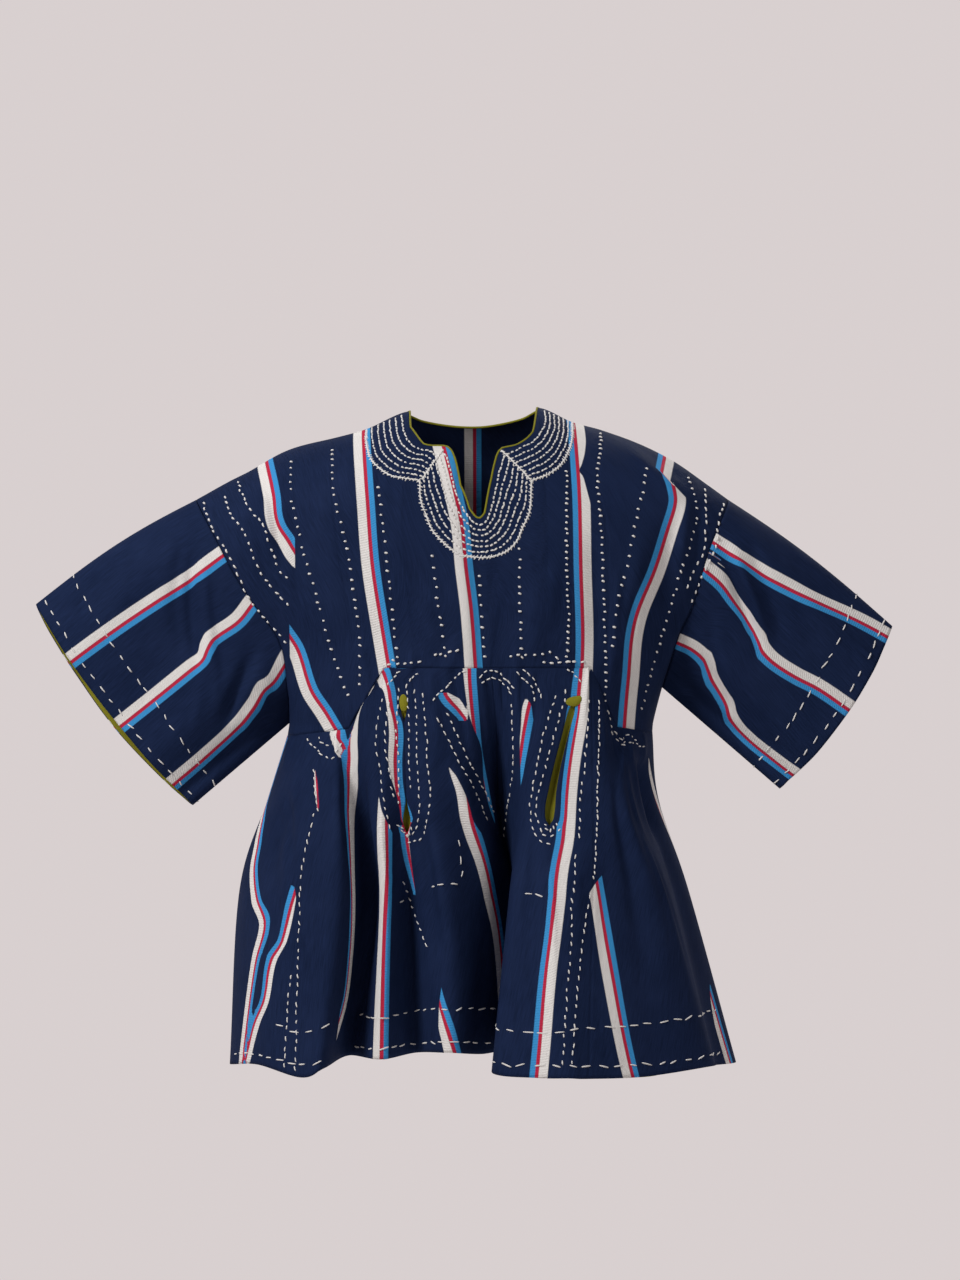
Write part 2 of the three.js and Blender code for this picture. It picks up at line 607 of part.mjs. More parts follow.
function hemFacing(panel) {
  const [from, to] = panelSpan(panel);
  const inset = 1 / SKIRT_STEPS;
  const band = lastRows(skirtGrid(from + inset, to - inset), HEM_FACING_ROWS);
  trim(band, 'bottom', 4);
  return wall(band, gridFaces(band), FACING_WALL, INSIDE, 1);
}

// Olive cloth behind a pocket slit, which sinks inwards away from the opening.
const POCKET_SINK = 5;
const POCKET_EASE = 0.3;    // more room behind the opened edges of the slit
const POCKET_ROWS = 9;
function pocketLining(pocket) {
  const middle = lineIndex(pocket.line);
  const panel = skirtGrid(middle - 1, middle + 1);
  const { columns } = panel;
  const sink = (i, j) => Math.sin((Math.PI * i) / (columns - 1))
    * Math.sin((Math.PI * j) / (POCKET_ROWS - 1));
  const place = (i, j) => i * SKIRT_ROWS + j + 1;
  const lining = sheet(columns, POCKET_ROWS,
    (i, j) => panel.points[place(i, j)].clone().addScaledVector(
      panel.normals[place(i, j)], INSIDE - POCKET_EASE - POCKET_SINK * sink(i, j)),
    (i, j) => panel.normals[place(i, j)]);
  return wall(lining, gridFaces(lining), FACING_WALL, 0, 1);
}

// ---------------------------------------------------------------- the smock
const smock = new THREE.Group();
function add(name, geometry, look) {
  const mesh = new THREE.Mesh(geometry, new THREE.MeshStandardMaterial(look));
  mesh.name = name;
  smock.add(mesh);
}

add('yoke_front', yokeCloth('front', frontLines), NAVY);
add('yoke_back', yokeCloth('back', backLines), NAVY);
add('neck_binding', neckBinding(), OLIVE);
SLEEVES.forEach((sleeve) => {
  add(`sleeve_${sleeve.side}`, sleeveCloth(sleeve), NAVY);
  add(`cuff_facing_${sleeve.side}`, cuffFacing(sleeve), OLIVE);
});
SKIRT_PANELS.forEach((panel) => {
  add(panel.name, skirtCloth(panel), NAVY);
  add(panel.hem, hemFacing(panel), OLIVE);
});
POCKETS.forEach((pocket) => add(`pocket_lining_${pocket.side}`, pocketLining(pocket), OLIVE));

export default smock;
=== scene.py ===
"""Looks of a West African fugu smock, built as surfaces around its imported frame.

Tables are in millimetres and are turned to metres when a mesh is made. +Z is up, the front
faces -Y and +X is the wearer's left.
"""

from types import SimpleNamespace

import bpy
import numpy as np
from bpy.props import FloatProperty, FloatVectorProperty, PointerProperty
from bpy.types import Operator, Panel, PropertyGroup
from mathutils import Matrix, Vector


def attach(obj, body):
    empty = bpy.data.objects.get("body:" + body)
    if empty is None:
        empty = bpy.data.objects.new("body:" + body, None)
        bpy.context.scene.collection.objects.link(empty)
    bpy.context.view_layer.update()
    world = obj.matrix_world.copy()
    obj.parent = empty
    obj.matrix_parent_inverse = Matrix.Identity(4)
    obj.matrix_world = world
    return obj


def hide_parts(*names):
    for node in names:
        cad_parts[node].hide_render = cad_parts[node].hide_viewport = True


bl_info = {
    "name": "Fugu Smock",
    "version": (1, 0, 0),
    "blender": (4, 5, 0),
    "location": "3D View > Sidebar > Smock",
    "description": "Builds a strip-woven smock with its stripes and hand sewing",
    "category": "Object",
}

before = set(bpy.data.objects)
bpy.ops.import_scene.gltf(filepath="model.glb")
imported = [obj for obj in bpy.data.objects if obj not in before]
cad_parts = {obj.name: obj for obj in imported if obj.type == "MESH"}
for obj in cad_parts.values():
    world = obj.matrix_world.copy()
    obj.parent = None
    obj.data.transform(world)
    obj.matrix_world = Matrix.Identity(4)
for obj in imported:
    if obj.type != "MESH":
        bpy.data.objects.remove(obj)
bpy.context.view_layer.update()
MM = 0.001


def table(columns, rows):
    """Rows under named columns, as one array for each column."""
    return SimpleNamespace(**{
        name: np.array([row[i] for row in rows])
        for i, name in enumerate(columns.split())})


def each_row(named):
    """The rows of a table, one after another."""
    return zip(*vars(named).values())


# ---------------------------------------------------------------- cut of the smock
SHOULDER = table("x z", [
    (-311, -97), (-275, -77), (-253, -66), (-220, -47), (-198, -38.5), (-156, -28.5),
    (-124, -19.5), (-78, 0), (0, 3), (64, 4), (101, -12), (132, -20.5), (176, -36.5),
    (214, -56), (247, -79), (272, -97)])
RIGHT_SEAM = table("z x", [
    (-356, -211), (-341, -209), (-300, -209), (-252, -217), (-210, -246), (-178, -266),
    (-133, -290), (-97, -311)])
LEFT_SEAM = table("z x", [
    (-352, 189), (-341, 190), (-302, 200), (-245, 216), (-211, 231), (-157, 246),
    (-117, 263), (-97, 272)])
DEPTHS = table("z front back edge", [
    (-360, 116, 96, 0), (-341, 117, 97, 0), (-300, 119, 100, 34), (-250, 119, 103, 52),
    (-200, 117, 104, 60), (-130, 110, 99, 58), (-60, 92, 82, 50), (4, 74, 58, 44)])
WAIST = {
    "front": table("x z", [
        (-211, -356), (-140, -346), (-102, -281), (118, -281), (146, -344), (189, -352)]),
    "back": table("x z", [(-211, -356), (189, -352)]),
}
ARMHOLES = (-311, 272)      # places across of the armholes' upper ends
ARMHOLE_TOP = -97
WAIST_ENDS = (-211, 189)
UNDERARM = {-1: -341, 1: -302}
SHOULDER_ROUND = 92         # height over which the cloth rounds over the shoulder
SIDE_ROUND = 110            # height over which the sides turn round below the underarm
CHEST_POWER = 2.4           # of the share across, in the depth of the chest
ON_SHOULDER = 99    # an upper end that lies on the shoulder line

# Lengthwise lines of the yoke front: height of the upper end, and places across at that
# end, at 130 and 207 below the shoulder and at the waist seam.
YOKE_LINES = table("end x0 x1 x2 x3", [
    (99, -284, -262, -224, -204), (99, -239, -221, -207, -186),
    (99, -218, -200, -193, -160), (99, -204, -186, -170, -140),
    (99, -162, -150, -135, -124), (99, -130, -121, -113, -102),
    (99, -106, -103, -94, -87), (99, -78, -84, -77, -71),
    (-21, -76, -68, -60, -53), (-41, -61, -52, -43, -35),
    (-44, -36, -31, -22, -17), (-54, -29, -23, -14, -10),
    (-86, -22, -15, -8, -3), (-112, -12, -9, -3, 1),
    (-122, -3, -3, 1, 5), (-116, 6, 4, 8, 11),
    (-80, 13, 11, 14, 17), (-54, 19, 19, 21, 23),
    (-46, 24, 28, 30, 31), (-41, 42, 42, 42, 42),
    (-27, 58, 58, 57, 57), (99, 64, 72, 71, 71),
    (99, 96, 92, 91, 91), (99, 113, 108, 107, 107),
    (99, 134, 131, 132, 118), (99, 170, 160, 150, 146),
    (99, 202, 198, 180, 157), (99, 231, 228, 204, 172)])
CHEST, RIB = -130, -207
BELOW_END = 14              # least distance from a line's upper end to its next point
BACK_STRIPS = 26            # parts between the lines of the yoke back
BACK_WAIST = -354           # height at which the back's lines are spread for their feet
BACK_NECK_DROP = 18
BACK_NECK_MIDDLE, BACK_NECK_HALF = -7, 71

# Folds and creases of the yoke: from one point to another, half width and rise; a fold
# also says whether the cloth steps down on its armhole side (1) or only swells (0).
FOLDS = {
    "front": table("x0 z0 x1 z1 width rise step", [
        (-196, -70, -190, -262, 6, 9, 1), (-168, -60, -150, -300, 15, 4, 0),
        (-60, -190, -48, -276, 12, 4, 0), (60, -170, 62, -276, 14, 4, 0),
        (150, -30, 226, -104, 8, 6.5, 0), (162, -26, 234, -92, 6, -4, 0),
        (176, -120, 150, -300, 12, 6, 0),
        (120, -120, 124, -290, 10, -4, 0), (205, -100, 196, -250, 12, -5, 0)]),
    "back": table("x0 z0 x1 z1 width rise step", [
        (-205, -80, -188, -290, 12, 7, 0), (-120, -110, -96, -310, 16, 5, 0),
        (-30, -140, -22, -320, 14, 4, 0), (58, -120, 50, -310, 15, 5, 0),
        (128, -90, 112, -300, 13, 5, 0), (196, -90, 176, -270, 12, 7, 0)]),
}
CREASE_DEPTH = 1.6      # times the rise of the creases
CREASES = {
    "front": table("x0 z0 x1 z1 width rise", [
        (-244, -62, -222, -170, 5, 3.0), (-228, -70, -208, -190, 4, -2.2),
        (-262, -80, -232, -200, 7, 2.2), (-150, -44, -130, -130, 9, 1.6),
        (-96, -120, -70, -230, 8, 1.3), (18, -200, 66, -236, 5, 1.5),
        (30, -214, 84, -254, 5, -1.2), (-20, -240, -40, -300, 6, 1.4),
        (84, -150, 70, -250, 8, 1.4), (226, -84, 214, -180, 6, 2.6),
        (238, -96, 226, -200, 6, -2.0), (150, -150, 138, -330, 5, 2.0),
        (168, -180, 152, -340, 5, -2.4), (-186, -250, -170, -345, 6, 2.4),
        (-158, -240, -140, -335, 6, -2.4), (-130, -250, -118, -300, 5, 1.6),
        (96, -246, 92, -300, 4, 1.3), (40, -250, 38, -300, 4, 1.2),
        (-70, -256, -74, -300, 4, 1.4), (188, -58, 236, -96, 5, 1.8)]),
    "back": table("x0 z0 x1 z1 width rise", [
        (-250, -80, -226, -220, 8, 3.0), (-170, -60, -146, -190, 10, 2.4),
        (-80, -150, -66, -340, 8, 2.4), (10, -160, 8, -340, 7, -2.0),
        (90, -130, 82, -340, 8, 2.4), (160, -60, 140, -220, 9, 2.2),
        (226, -90, 208, -210, 8, 3.0), (-110, -60, -40, -74, 10, 2.0),
        (30, -60, 100, -56, 10, 2.0), (-150, -230, -140, -345, 7, 2.6),
        (120, -230, 116, -345, 7, 2.6)]),
}

SLEEVES = {
    "right": SimpleNamespace(
        name="right", sign=-1, cuff_top=(-488, -212), cuff_end=(-316, -432), cuff_depth=26, bow=8,
        back_longer=11, arch=8),
    "left": SimpleNamespace(
        name="left", sign=1, cuff_top=(453, -236), cuff_end=(330, -414), cuff_depth=24, bow=12,
        back_longer=0, arch=7),
}
SLEEVE_FOLDS = table("start end width rise", [
    (0.11, 0.16, 0.030, 5), (0.20, 0.27, 0.035, -4), (0.31, 0.34, 0.030, 6),
    (0.40, 0.42, 0.022, -5), (0.60, 0.57, 0.025, 5), (0.70, 0.72, 0.035, -4),
    (0.83, 0.80, 0.030, 6), (0.92, 0.90, 0.025, -3)])
# Creases of a sleeve: place and turn at both ends, half width in turns, and rise.
SLEEVE_CREASES = {
    "right": table("s0 t0 s1 t1 width rise", [
        (0.06, 0.08, 0.55, 0.26, 0.020, -4), (0.12, 0.15, 0.50, 0.30, 0.018, 3),
        (0.15, 0.28, 0.50, 0.36, 0.015, -3), (0.30, 0.24, 0.70, 0.34, 0.014, 2.5),
        (0.05, 0.33, 0.45, 0.40, 0.018, 3), (0.40, 0.05, 0.95, 0.08, 0.020, 2),
        (0.10, 0.60, 0.70, 0.68, 0.025, 4), (0.20, 0.72, 0.80, 0.78, 0.025, -4),
        (0.10, 0.84, 0.60, 0.92, 0.02, 3), (0.06, 0.11, 0.52, 0.29, 0.017, -8),
        (0.02, 0.27, 0.55, 0.36, 0.015, -7), (0.05, 0.145, 0.50, 0.325, 0.012, 4)]),
    "left": table("s0 t0 s1 t1 width rise", [
        (0.02, 0.12, 0.50, 0.27, 0.020, 5), (0.10, 0.10, 0.60, 0.24, 0.018, -4),
        (0.05, 0.26, 0.40, 0.36, 0.016, -3), (0.10, 0.33, 0.60, 0.42, 0.018, 3),
        (0.45, 0.14, 0.90, 0.18, 0.016, 2), (0.50, 0.30, 0.95, 0.33, 0.018, -2),
        (0.10, 0.60, 0.70, 0.68, 0.025, 4), (0.20, 0.72, 0.80, 0.78, 0.025, -4),
        (0.10, 0.84, 0.60, 0.92, 0.02, 3), (0.00, 0.155, 0.52, 0.28, 0.014, -8),
        (0.00, 0.13, 0.52, 0.25, 0.013, 5), (0.05, 0.31, 0.55, 0.39, 0.015, -7)]),
}

# Skirt fold lines: places across and depths at the waist, at 427 and 526 below the
# shoulder and at the hem, and the hem's height.
SKIRT_LINES = table("x0 x1 x2 x3 y1 y2 y3 hem", [
    (-211, -233, -264, -274, 0, 0, -8, -716), (-192, -211, -230, -236, -72, -88, -104, -703),
    (-172, -176, -190, -187, -112, -122, -156, -709),
    (-156, -150, -146, -163, -125, -142, -164, -698),
    (-140, -134, -124, -141, -96, -90, -92, -695),
    (-102, -109, -100, -104, -124, -133, -142, -692), (-82, -78, -76, -68, -112, -100, -98, -691),
    (-58, -54, -44, -32, -131, -142, -150, -684), (-22, -10, 8, 2, -112, -106, -116, -690),
    (12, 27, 42, 34, -84, -74, -86, -690), (32, 44, 31, 13, -118, -150, -190, -699),
    (64, 58, 66, 60, -134, -167, -212, -701), (109, 74, 83, 92, -135, -172, -215, -701),
    (118, 120, 118, 112, -132, -160, -205, -703), (146, 146, 160, 172, -122, -140, -176, -705),
    (156, 164, 198, 242, -98, -110, -126, -702), (172, 178, 210, 254, -52, -56, -66, -709),
    (189, 196, 229, 281, 4, 5, 0, -715), (176, 190, 214, 256, 66, 80, 98, -720),
    (146, 158, 168, 186, 88, 92, 90, -716), (116, 122, 134, 148, 106, 122, 148, -724),
    (84, 88, 92, 98, 96, 98, 100, -716), (52, 56, 58, 58, 112, 130, 156, -724),
    (20, 22, 20, 16, 98, 98, 104, -716), (-14, -14, -18, -28, 114, 132, 162, -724),
    (-48, -52, -58, -68, 98, 100, 104, -716), (-84, -88, -96, -108, 112, 128, 154, -724),
    (-118, -126, -136, -150, 94, 94, 96, -716), (-150, -162, -180, -196, 94, 104, 122, -722),
    (-186, -204, -232, -244, 58, 66, 72, -717)])
SKIRT_LEVELS = (-427, -526)
SKIRT_COUNT = len(SKIRT_LINES.x0)
SIDE_LEFT = 17      # fold line of the left side seam
SEAM_EASE = 14      # the skirt leaves the yoke's edge over a level divided by this
CREASE_EASE = 12    # its creases rise below the seam over a level divided by this


# ---------------------------------------------------------------- curves
def mix(a, b, t):
    return a + (b - a) * t


def ease(t):
    t = np.clip(t, 0, 1)
    return t * t * (3 - 2 * t)


def faded(share):
    """1 along the middle of a line, eased to 0 over a third of it at both ends."""
    return ease(share * 3) * ease((1 - share) * 3)


def unit(vectors):
    return vectors / np.maximum(np.linalg.norm(vectors, axis=-1, keepdims=True), 1e-9)


def through(at, values):
    """Smooth curve through values at rising places, level past both ends: a cubic between
    two places whose end slopes are those of the chord between each place's neighbours."""
    at, values = np.asarray(at, float), np.asarray(values, float)
    low = np.maximum(np.arange(len(at)) - 1, 0)
    high = np.minimum(np.arange(len(at)) + 1, len(at) - 1)
    slopes = (values[high] - values[low]) / (at[high] - at[low])

    def curve(x):
        x = np.clip(x, at[0], at[-1])
        i = np.clip(np.searchsorted(at, x) - 1, 0, len(at) - 2)
        width = at[i + 1] - at[i]
        t = (x - at[i]) / width
        bend = t * (1 - t) * width * (slopes[i] * (1 - t) - slopes[i + 1] * t)
        return mix(values[i], values[i + 1], t * t * (3 - 2 * t)) + bend
    return curve


shoulder = through(SHOULDER.x, SHOULDER.z)
side_seam = {-1: through(RIGHT_SEAM.z, RIGHT_SEAM.x), 1: through(LEFT_SEAM.z, LEFT_SEAM.x)}
depth_at = {name: through(DEPTHS.z, getattr(DEPTHS, name)) for name in ("front", "back", "edge")}
FACING = {"front": -1, "back": 1}


def waist(side, x):
    """Height of the waist seam at x."""
    return np.interp(x, WAIST[side].x, WAIST[side].z)


# ---------------------------------------------------------------- yoke
def fold_lift(folds, x, z):
    """Sum over the folds of rise times a bell across the fold's line, faded to nothing at
    its two ends; a step is an eased drop on the armhole side that levels out again."""
    total = np.zeros(np.broadcast(x, z).shape)
    for x0, z0, x1, z1, width, rise, *step in each_row(folds):
        dx, dz = x1 - x0, z1 - z0
        length = np.hypot(dx, dz)
        t = ((x - x0) * dx + (z - z0) * dz) / length**2
        aside = ((x - x0) * dz - (z - z0) * dx) / length / width
        drop = -ease(0.5 + aside / 2) * np.exp(-np.maximum(aside, 0) / 6)
        total += rise * faded(t) * (drop if any(step) else np.exp(-aside**2))
    return total


def yoke_depth(side, x, z):
    """Depth is mixed from the armhole depth to the full depth by one minus the share across
    to the chest's power, taken to a root below the underarm so that the side is round, plus
    the folds, and times a quarter circle down from the shoulder line."""
    left, right = side_seam[1](z), side_seam[-1](z)
    middle = (left + right) / 2
    across = np.clip(np.abs(x - middle) / ((left - right) / 2), 0, 1)
    under = np.where(x < middle, UNDERARM[-1], UNDERARM[1])
    power = mix(1, 0.5, ease((under + SIDE_ROUND - z) / SIDE_ROUND))
    edge = depth_at["edge"](z + (UNDERARM[-1] - under))
    full = mix(edge, depth_at[side](z), (1 - across**CHEST_POWER) ** power)
    fall = np.clip((shoulder(x) - z) / SHOULDER_ROUND, 0, 1)
    folds = fold_lift(FOLDS[side], x, z) + CREASE_DEPTH * fold_lift(CREASES[side], x, z)
    return np.maximum(full + folds, 0) * np.sqrt(1 - (1 - fall) ** 2)


def yoke_point(side, x, z):
    """The yoke's front or back over (x, z): its depth is laid off to that side."""
    x, z = np.broadcast_arrays(np.asarray(x, float), np.asarray(z, float))
    return np.stack([x, FACING[side] * yoke_depth(side, x, z), z], -1)


def yoke_lines(side):
    """Upper end, lower end and a place-across function for each lengthwise line."""
    lines = []
    if side == "front":
        for end, x0, x1, x2, x3 in each_row(YOKE_LINES):
            end = float(shoulder(x0)) if end == ON_SHOULDER else end
            start = float(waist(side, x3))
            levels = [start, RIB, min(CHEST, end - BELOW_END), end]
            lines.append((end, start, through(levels, [x3, x2, x1, x0])))
    else:
        for share in np.arange(1, BACK_STRIPS) / BACK_STRIPS:
            x0 = mix(*ARMHOLES, share)
            from_neck = (x0 - BACK_NECK_MIDDLE) / BACK_NECK_HALF
            drop = BACK_NECK_DROP * np.sqrt(np.clip(1 - from_neck**2, 0, 1))
            foot = mix(side_seam[-1](BACK_WAIST), side_seam[1](BACK_WAIST), share)
            lines.append((float(shoulder(x0)) - drop, float(waist(side, foot)),
                          lambda z, share=share: mix(side_seam[-1](z), side_seam[1](z), share)))
    first, last = [(float(shoulder(top)), float(waist(side, foot)), side_seam[sign])
                   for top, foot, sign in zip(ARMHOLES, WAIST_ENDS, (-1, 1))]
    return [first, *lines, last]


LINES = {side: yoke_lines(side) for side in FACING}
NECK_SPAN = {"front": (8, 22), "back": (10, 17)}    # lines between which the neck is cut
SETTLING = 12       # steps in which a leaning line's upper end settles on the shoulder


def yoke_columns(side, columns):
    """Upper and lower end of the cloth at these columns, and the two lines round each."""
    lines = LINES[side]
    low = np.minimum(columns.astype(int), len(lines) - 2)
    part = columns - low
    tops = [float(line[2](line[0])) for line in lines]
    feet = [float(line[2](line[1])) for line in lines]
    neck = through(np.arange(len(lines)), [line[0] for line in lines])(columns)
    first, last = NECK_SPAN[side]
    in_neck = (columns >= first) & (columns <= last)
    end = np.where(in_neck, neck, shoulder(np.interp(columns, np.arange(len(lines)), tops)))
    for _ in range(SETTLING):
        x_end = yoke_place(side, low, part, end[:, None])[:, 0]
        end = np.where(in_neck, neck, shoulder(x_end))
    start = waist(side, np.interp(columns, np.arange(len(lines)), feet))
    return end, start, low, part


def yoke_place(side, low, part, z):
    """Place across at height z, mixed between the two lines round each column."""
    x = np.empty(z.shape)
    for i, (line, after) in enumerate(zip(LINES[side], LINES[side][1:])):
        here = low == i
        x[here] = mix(line[2](z[here]), after[2](z[here]), part[here, None])
    return x


def yoke_grid(side, spacing, rows):
    """Columns run down between neighbouring lines, their places mixed evenly from line to
    line, and rows crowd towards the shoulder, where the cloth rounds over."""
    width = np.diff([float(line[2](CHEST)) for line in LINES[side]])
    columns = np.concatenate([
        i + np.arange(n) / n for i, n in enumerate(np.ceil(width / spacing).astype(int))
    ] + [[len(width)]])
    end, start, low, part = yoke_columns(side, columns)
    share = np.linspace(0, 1, rows) ** 1.5
    z = mix(end[:, None], start[:, None], share[None])
    return yoke_point(side, yoke_place(side, low, part, z), z)


# ---------------------------------------------------------------- sleeves
def armhole(sleeve, turn):
    """Height follows a cosine of the turn from the shoulder to the underarm and back; the
    place across follows the armhole seam at that height."""
    share = (1 - np.cos(2 * np.pi * turn)) / 2
    z = mix(ARMHOLE_TOP, UNDERARM[sleeve.sign], share)
    x = side_seam[sleeve.sign](z)
    front = yoke_point("front", x, z)
    back = yoke_point("back", x, z)
    return np.where((turn <= 0.5)[..., None], front, back)


def cuff(sleeve, turn):
    """A flat ellipse from the cuff's upper to its lower corner, bowed outwards by a sine."""
    share = (1 - np.cos(2 * np.pi * turn)) / 2
    bulge = np.sin(np.pi * share)
    reach = sleeve.bow * bulge + np.where(turn > 0.5, sleeve.back_longer, 0) * np.sqrt(bulge)
    return np.stack([
        mix(sleeve.cuff_top[0], sleeve.cuff_end[0], share) + sleeve.sign * reach * 0.8,
        -sleeve.cuff_depth * np.sin(2 * np.pi * turn),
        mix(sleeve.cuff_top[1], sleeve.cuff_end[1], share) - reach * 0.6], -1)


def sleeve_point(sleeve, s, turn):
    """Armhole and cuff loops mixed by s, the top arched by a sine of s, and each fold a
    bell across its own line round the sleeve, faded out at the armhole."""
    s, turn = np.broadcast_arrays(np.asarray(s, float), np.asarray(turn, float))
    turn = turn - np.floor(turn)
    point = mix(armhole(sleeve, turn), cuff(sleeve, turn), s[..., None])
    lift = np.zeros(s.shape)
    for start, end, width, rise in each_row(SLEEVE_FOLDS):
        lift += rise * np.exp(-((turn - mix(start, end, s)) / width) ** 2)
    for s0, t0, s1, t1, width, rise in each_row(SLEEVE_CREASES[sleeve.name]):
        share = (s - s0) / (s1 - s0)
        lift += rise * faded(share) * np.exp(-((turn - mix(t0, t1, share)) / width) ** 2)
    lift *= ease(s * 4) * ease((1.25 - s) * 3)
    point[..., 1] += np.where(turn <= 0.5, -1, 1) * lift
    point[..., 2] += sleeve.arch * np.sin(np.pi * s) * np.cos(np.pi * turn) ** 2
    return point


# ---------------------------------------------------------------- skirt
def skirt_paths():
    """Place across, depth and height of each fold line as curves down from the waist seam,
    where the line starts on the yoke's lower edge."""
    paths = []
    for i, (x0, x1, x2, x3, y1, y2, y3, hem) in enumerate(each_row(SKIRT_LINES)):
        side = "back" if i > SIDE_LEFT else "front"
        z0 = float(waist(side, x0))
        y0 = float(yoke_point(side, x0, z0)[1])
        at = (0, 1, 2, 3)
        paths.append((through(at, (x0, x1, x2, x3)), through(at, (y0, y1, y2, y3)),
                      through(at, (z0, *SKIRT_LEVELS, hem))))
    return paths


SKIRT_PATHS = skirt_paths()

# Puckers under the waist seam and soft creases further down: each runs from one fold-line
# place and level to another, with its half width in fold lines and its rise.
SKIRT_CREASES = table("u0 v0 u1 v1 width rise", [
    (7.6, 0.5, 8.3, 1.6, 0.16, 5), (8.0, 0.5, 8.75, 1.7, 0.2, -8), (5.1, 0.3, 4.8, 1.6, 0.16, -5),
    (3.5, 0.4, 3.4, 2.6, 0.3, 5), (2.4, 0.3, 2.3, 2.4, 0.28, -6), (13.9, 0.5, 14.2, 2.9, 0.22, -5),
    (12.7, 0.9, 12.4, 2.6, 0.3, 4), (10.4, 0.9, 10.2, 2.8, 0.3, 4), (7.0, 1.9, 7.1, 3.0, 0.3, -5),
    (8.9, 0.15, 9.3, 2.4, 0.45, -22), (8.1, 0.3, 8.0, 2.0, 0.2, 4),
    (4.35, 0.5, 4.35, 3.0, 0.25, -10), (6.6, 1.0, 6.9, 2.9, 0.22, -9),
    (0.9, 0.9, 1.0, 2.2, 0.3, -9), (16.05, 0.3, 16.2, 1.6, 0.28, -12),
    (15.45, 0.2, 15.6, 1.7, 0.16, 3), (14.9, 0.3, 15.0, 2.9, 0.12, 3),
    (19.8, 0.5, 19.9, 3.0, 0.4, -8),
    (21.6, 0.3, 21.5, 2.6, 0.35, -7), (24.0, 0.5, 24.0, 3.0, 0.35, -8),
    (26.0, 0.3, 26.1, 2.8, 0.3, -7), (28.0, 0.4, 28.1, 3.0, 0.35, -8),
    (0.9, 0.7, 1.8, 2.0, 0.20, -5), (1.2, 1.5, 1.4, 2.7, 0.22, -4), (4.3, 0.2, 4.3, 2.9, 0.22, -4),
    (6.8, 0.8, 6.9, 2.6, 0.24, -4), (7.3, 1.2, 7.2, 2.9, 0.3, 4), (2.8, 1.2, 2.7, 3.0, 0.3, 3),
    (14.8, 0.8, 15.3, 2.8, 0.09, -2.4), (14.3, 0.5, 14.6, 2.9, 0.28, 3.5),
    (13.4, 1.4, 13.2, 2.9, 0.2, -2), (11.6, 1.6, 11.2, 3.0, 0.3, 3),
    (10.7, 1.2, 10.6, 2.8, 0.28, -2.5), (5.5, 1.4, 5.4, 3.0, 0.18, -2.4),
    (8.4, 1.3, 8.5, 2.9, 0.25, -3), (16.3, 0.8, 16.2, 2.8, 0.25, -4),
    (0.5, 0.0, 0.6, 0.6, 0.10, 2.6), (1.2, 0.0, 1.0, 0.5, 0.12, -2.6),
    (2.2, 0.0, 2.3, 0.6, 0.12, 3.2), (2.7, 0.0, 2.9, 0.5, 0.10, -2.6),
    (3.3, 0.0, 3.1, 0.5, 0.14, 3.4), (3.8, 0.0, 3.9, 0.6, 0.12, -3),
    (4.45, 0.0, 4.5, 0.7, 0.12, 3.4), (4.8, 0.0, 4.75, 0.5, 0.09, -2.4),
    (5.3, 0.0, 5.5, 0.5, 0.10, 2.2), (6.5, 0.0, 6.5, 0.5, 0.12, -2.2),
    (7.2, 0.0, 7.4, 0.7, 0.14, 3), (7.8, 0.0, 8.2, 0.9, 0.12, -3),
    (8.6, 0.0, 8.8, 0.9, 0.12, 3), (9.5, 0.0, 9.3, 0.9, 0.14, -3),
    (10.2, 0.0, 10.0, 0.7, 0.14, 3), (11.0, 0.0, 10.8, 0.6, 0.14, -2.4),
    (12.6, 0.0, 12.6, 0.5, 0.12, 2.2), (13.3, 0.0, 13.5, 0.6, 0.12, 2.8),
    (13.8, 0.0, 14.0, 0.5, 0.10, -2.6), (14.3, 0.0, 14.5, 0.7, 0.12, 3),
    (15.2, 0.0, 15.3, 0.6, 0.14, 3), (16.2, 0.0, 16.2, 0.6, 0.14, 2.6),
    *[(17.6 + 0.62 * k, 0.0, 17.6 + 0.62 * k + 0.08 * (k % 3 - 1), 0.45 + 0.12 * (k % 4),
       0.12 + 0.02 * (k % 3), 3.2 * (-1) ** k) for k in range(20)],
    (18.6, 0.8, 18.4, 2.9, 0.3, 3.5), (20.5, 0.6, 20.4, 2.8, 0.3, -3),
    (22.5, 1.0, 22.6, 2.9, 0.3, 3), (25.4, 0.7, 25.5, 2.8, 0.3, -3),
    (27.4, 0.9, 27.6, 2.9, 0.3, 3.4), (29.3, 0.8, 29.4, 2.8, 0.25, -3)])


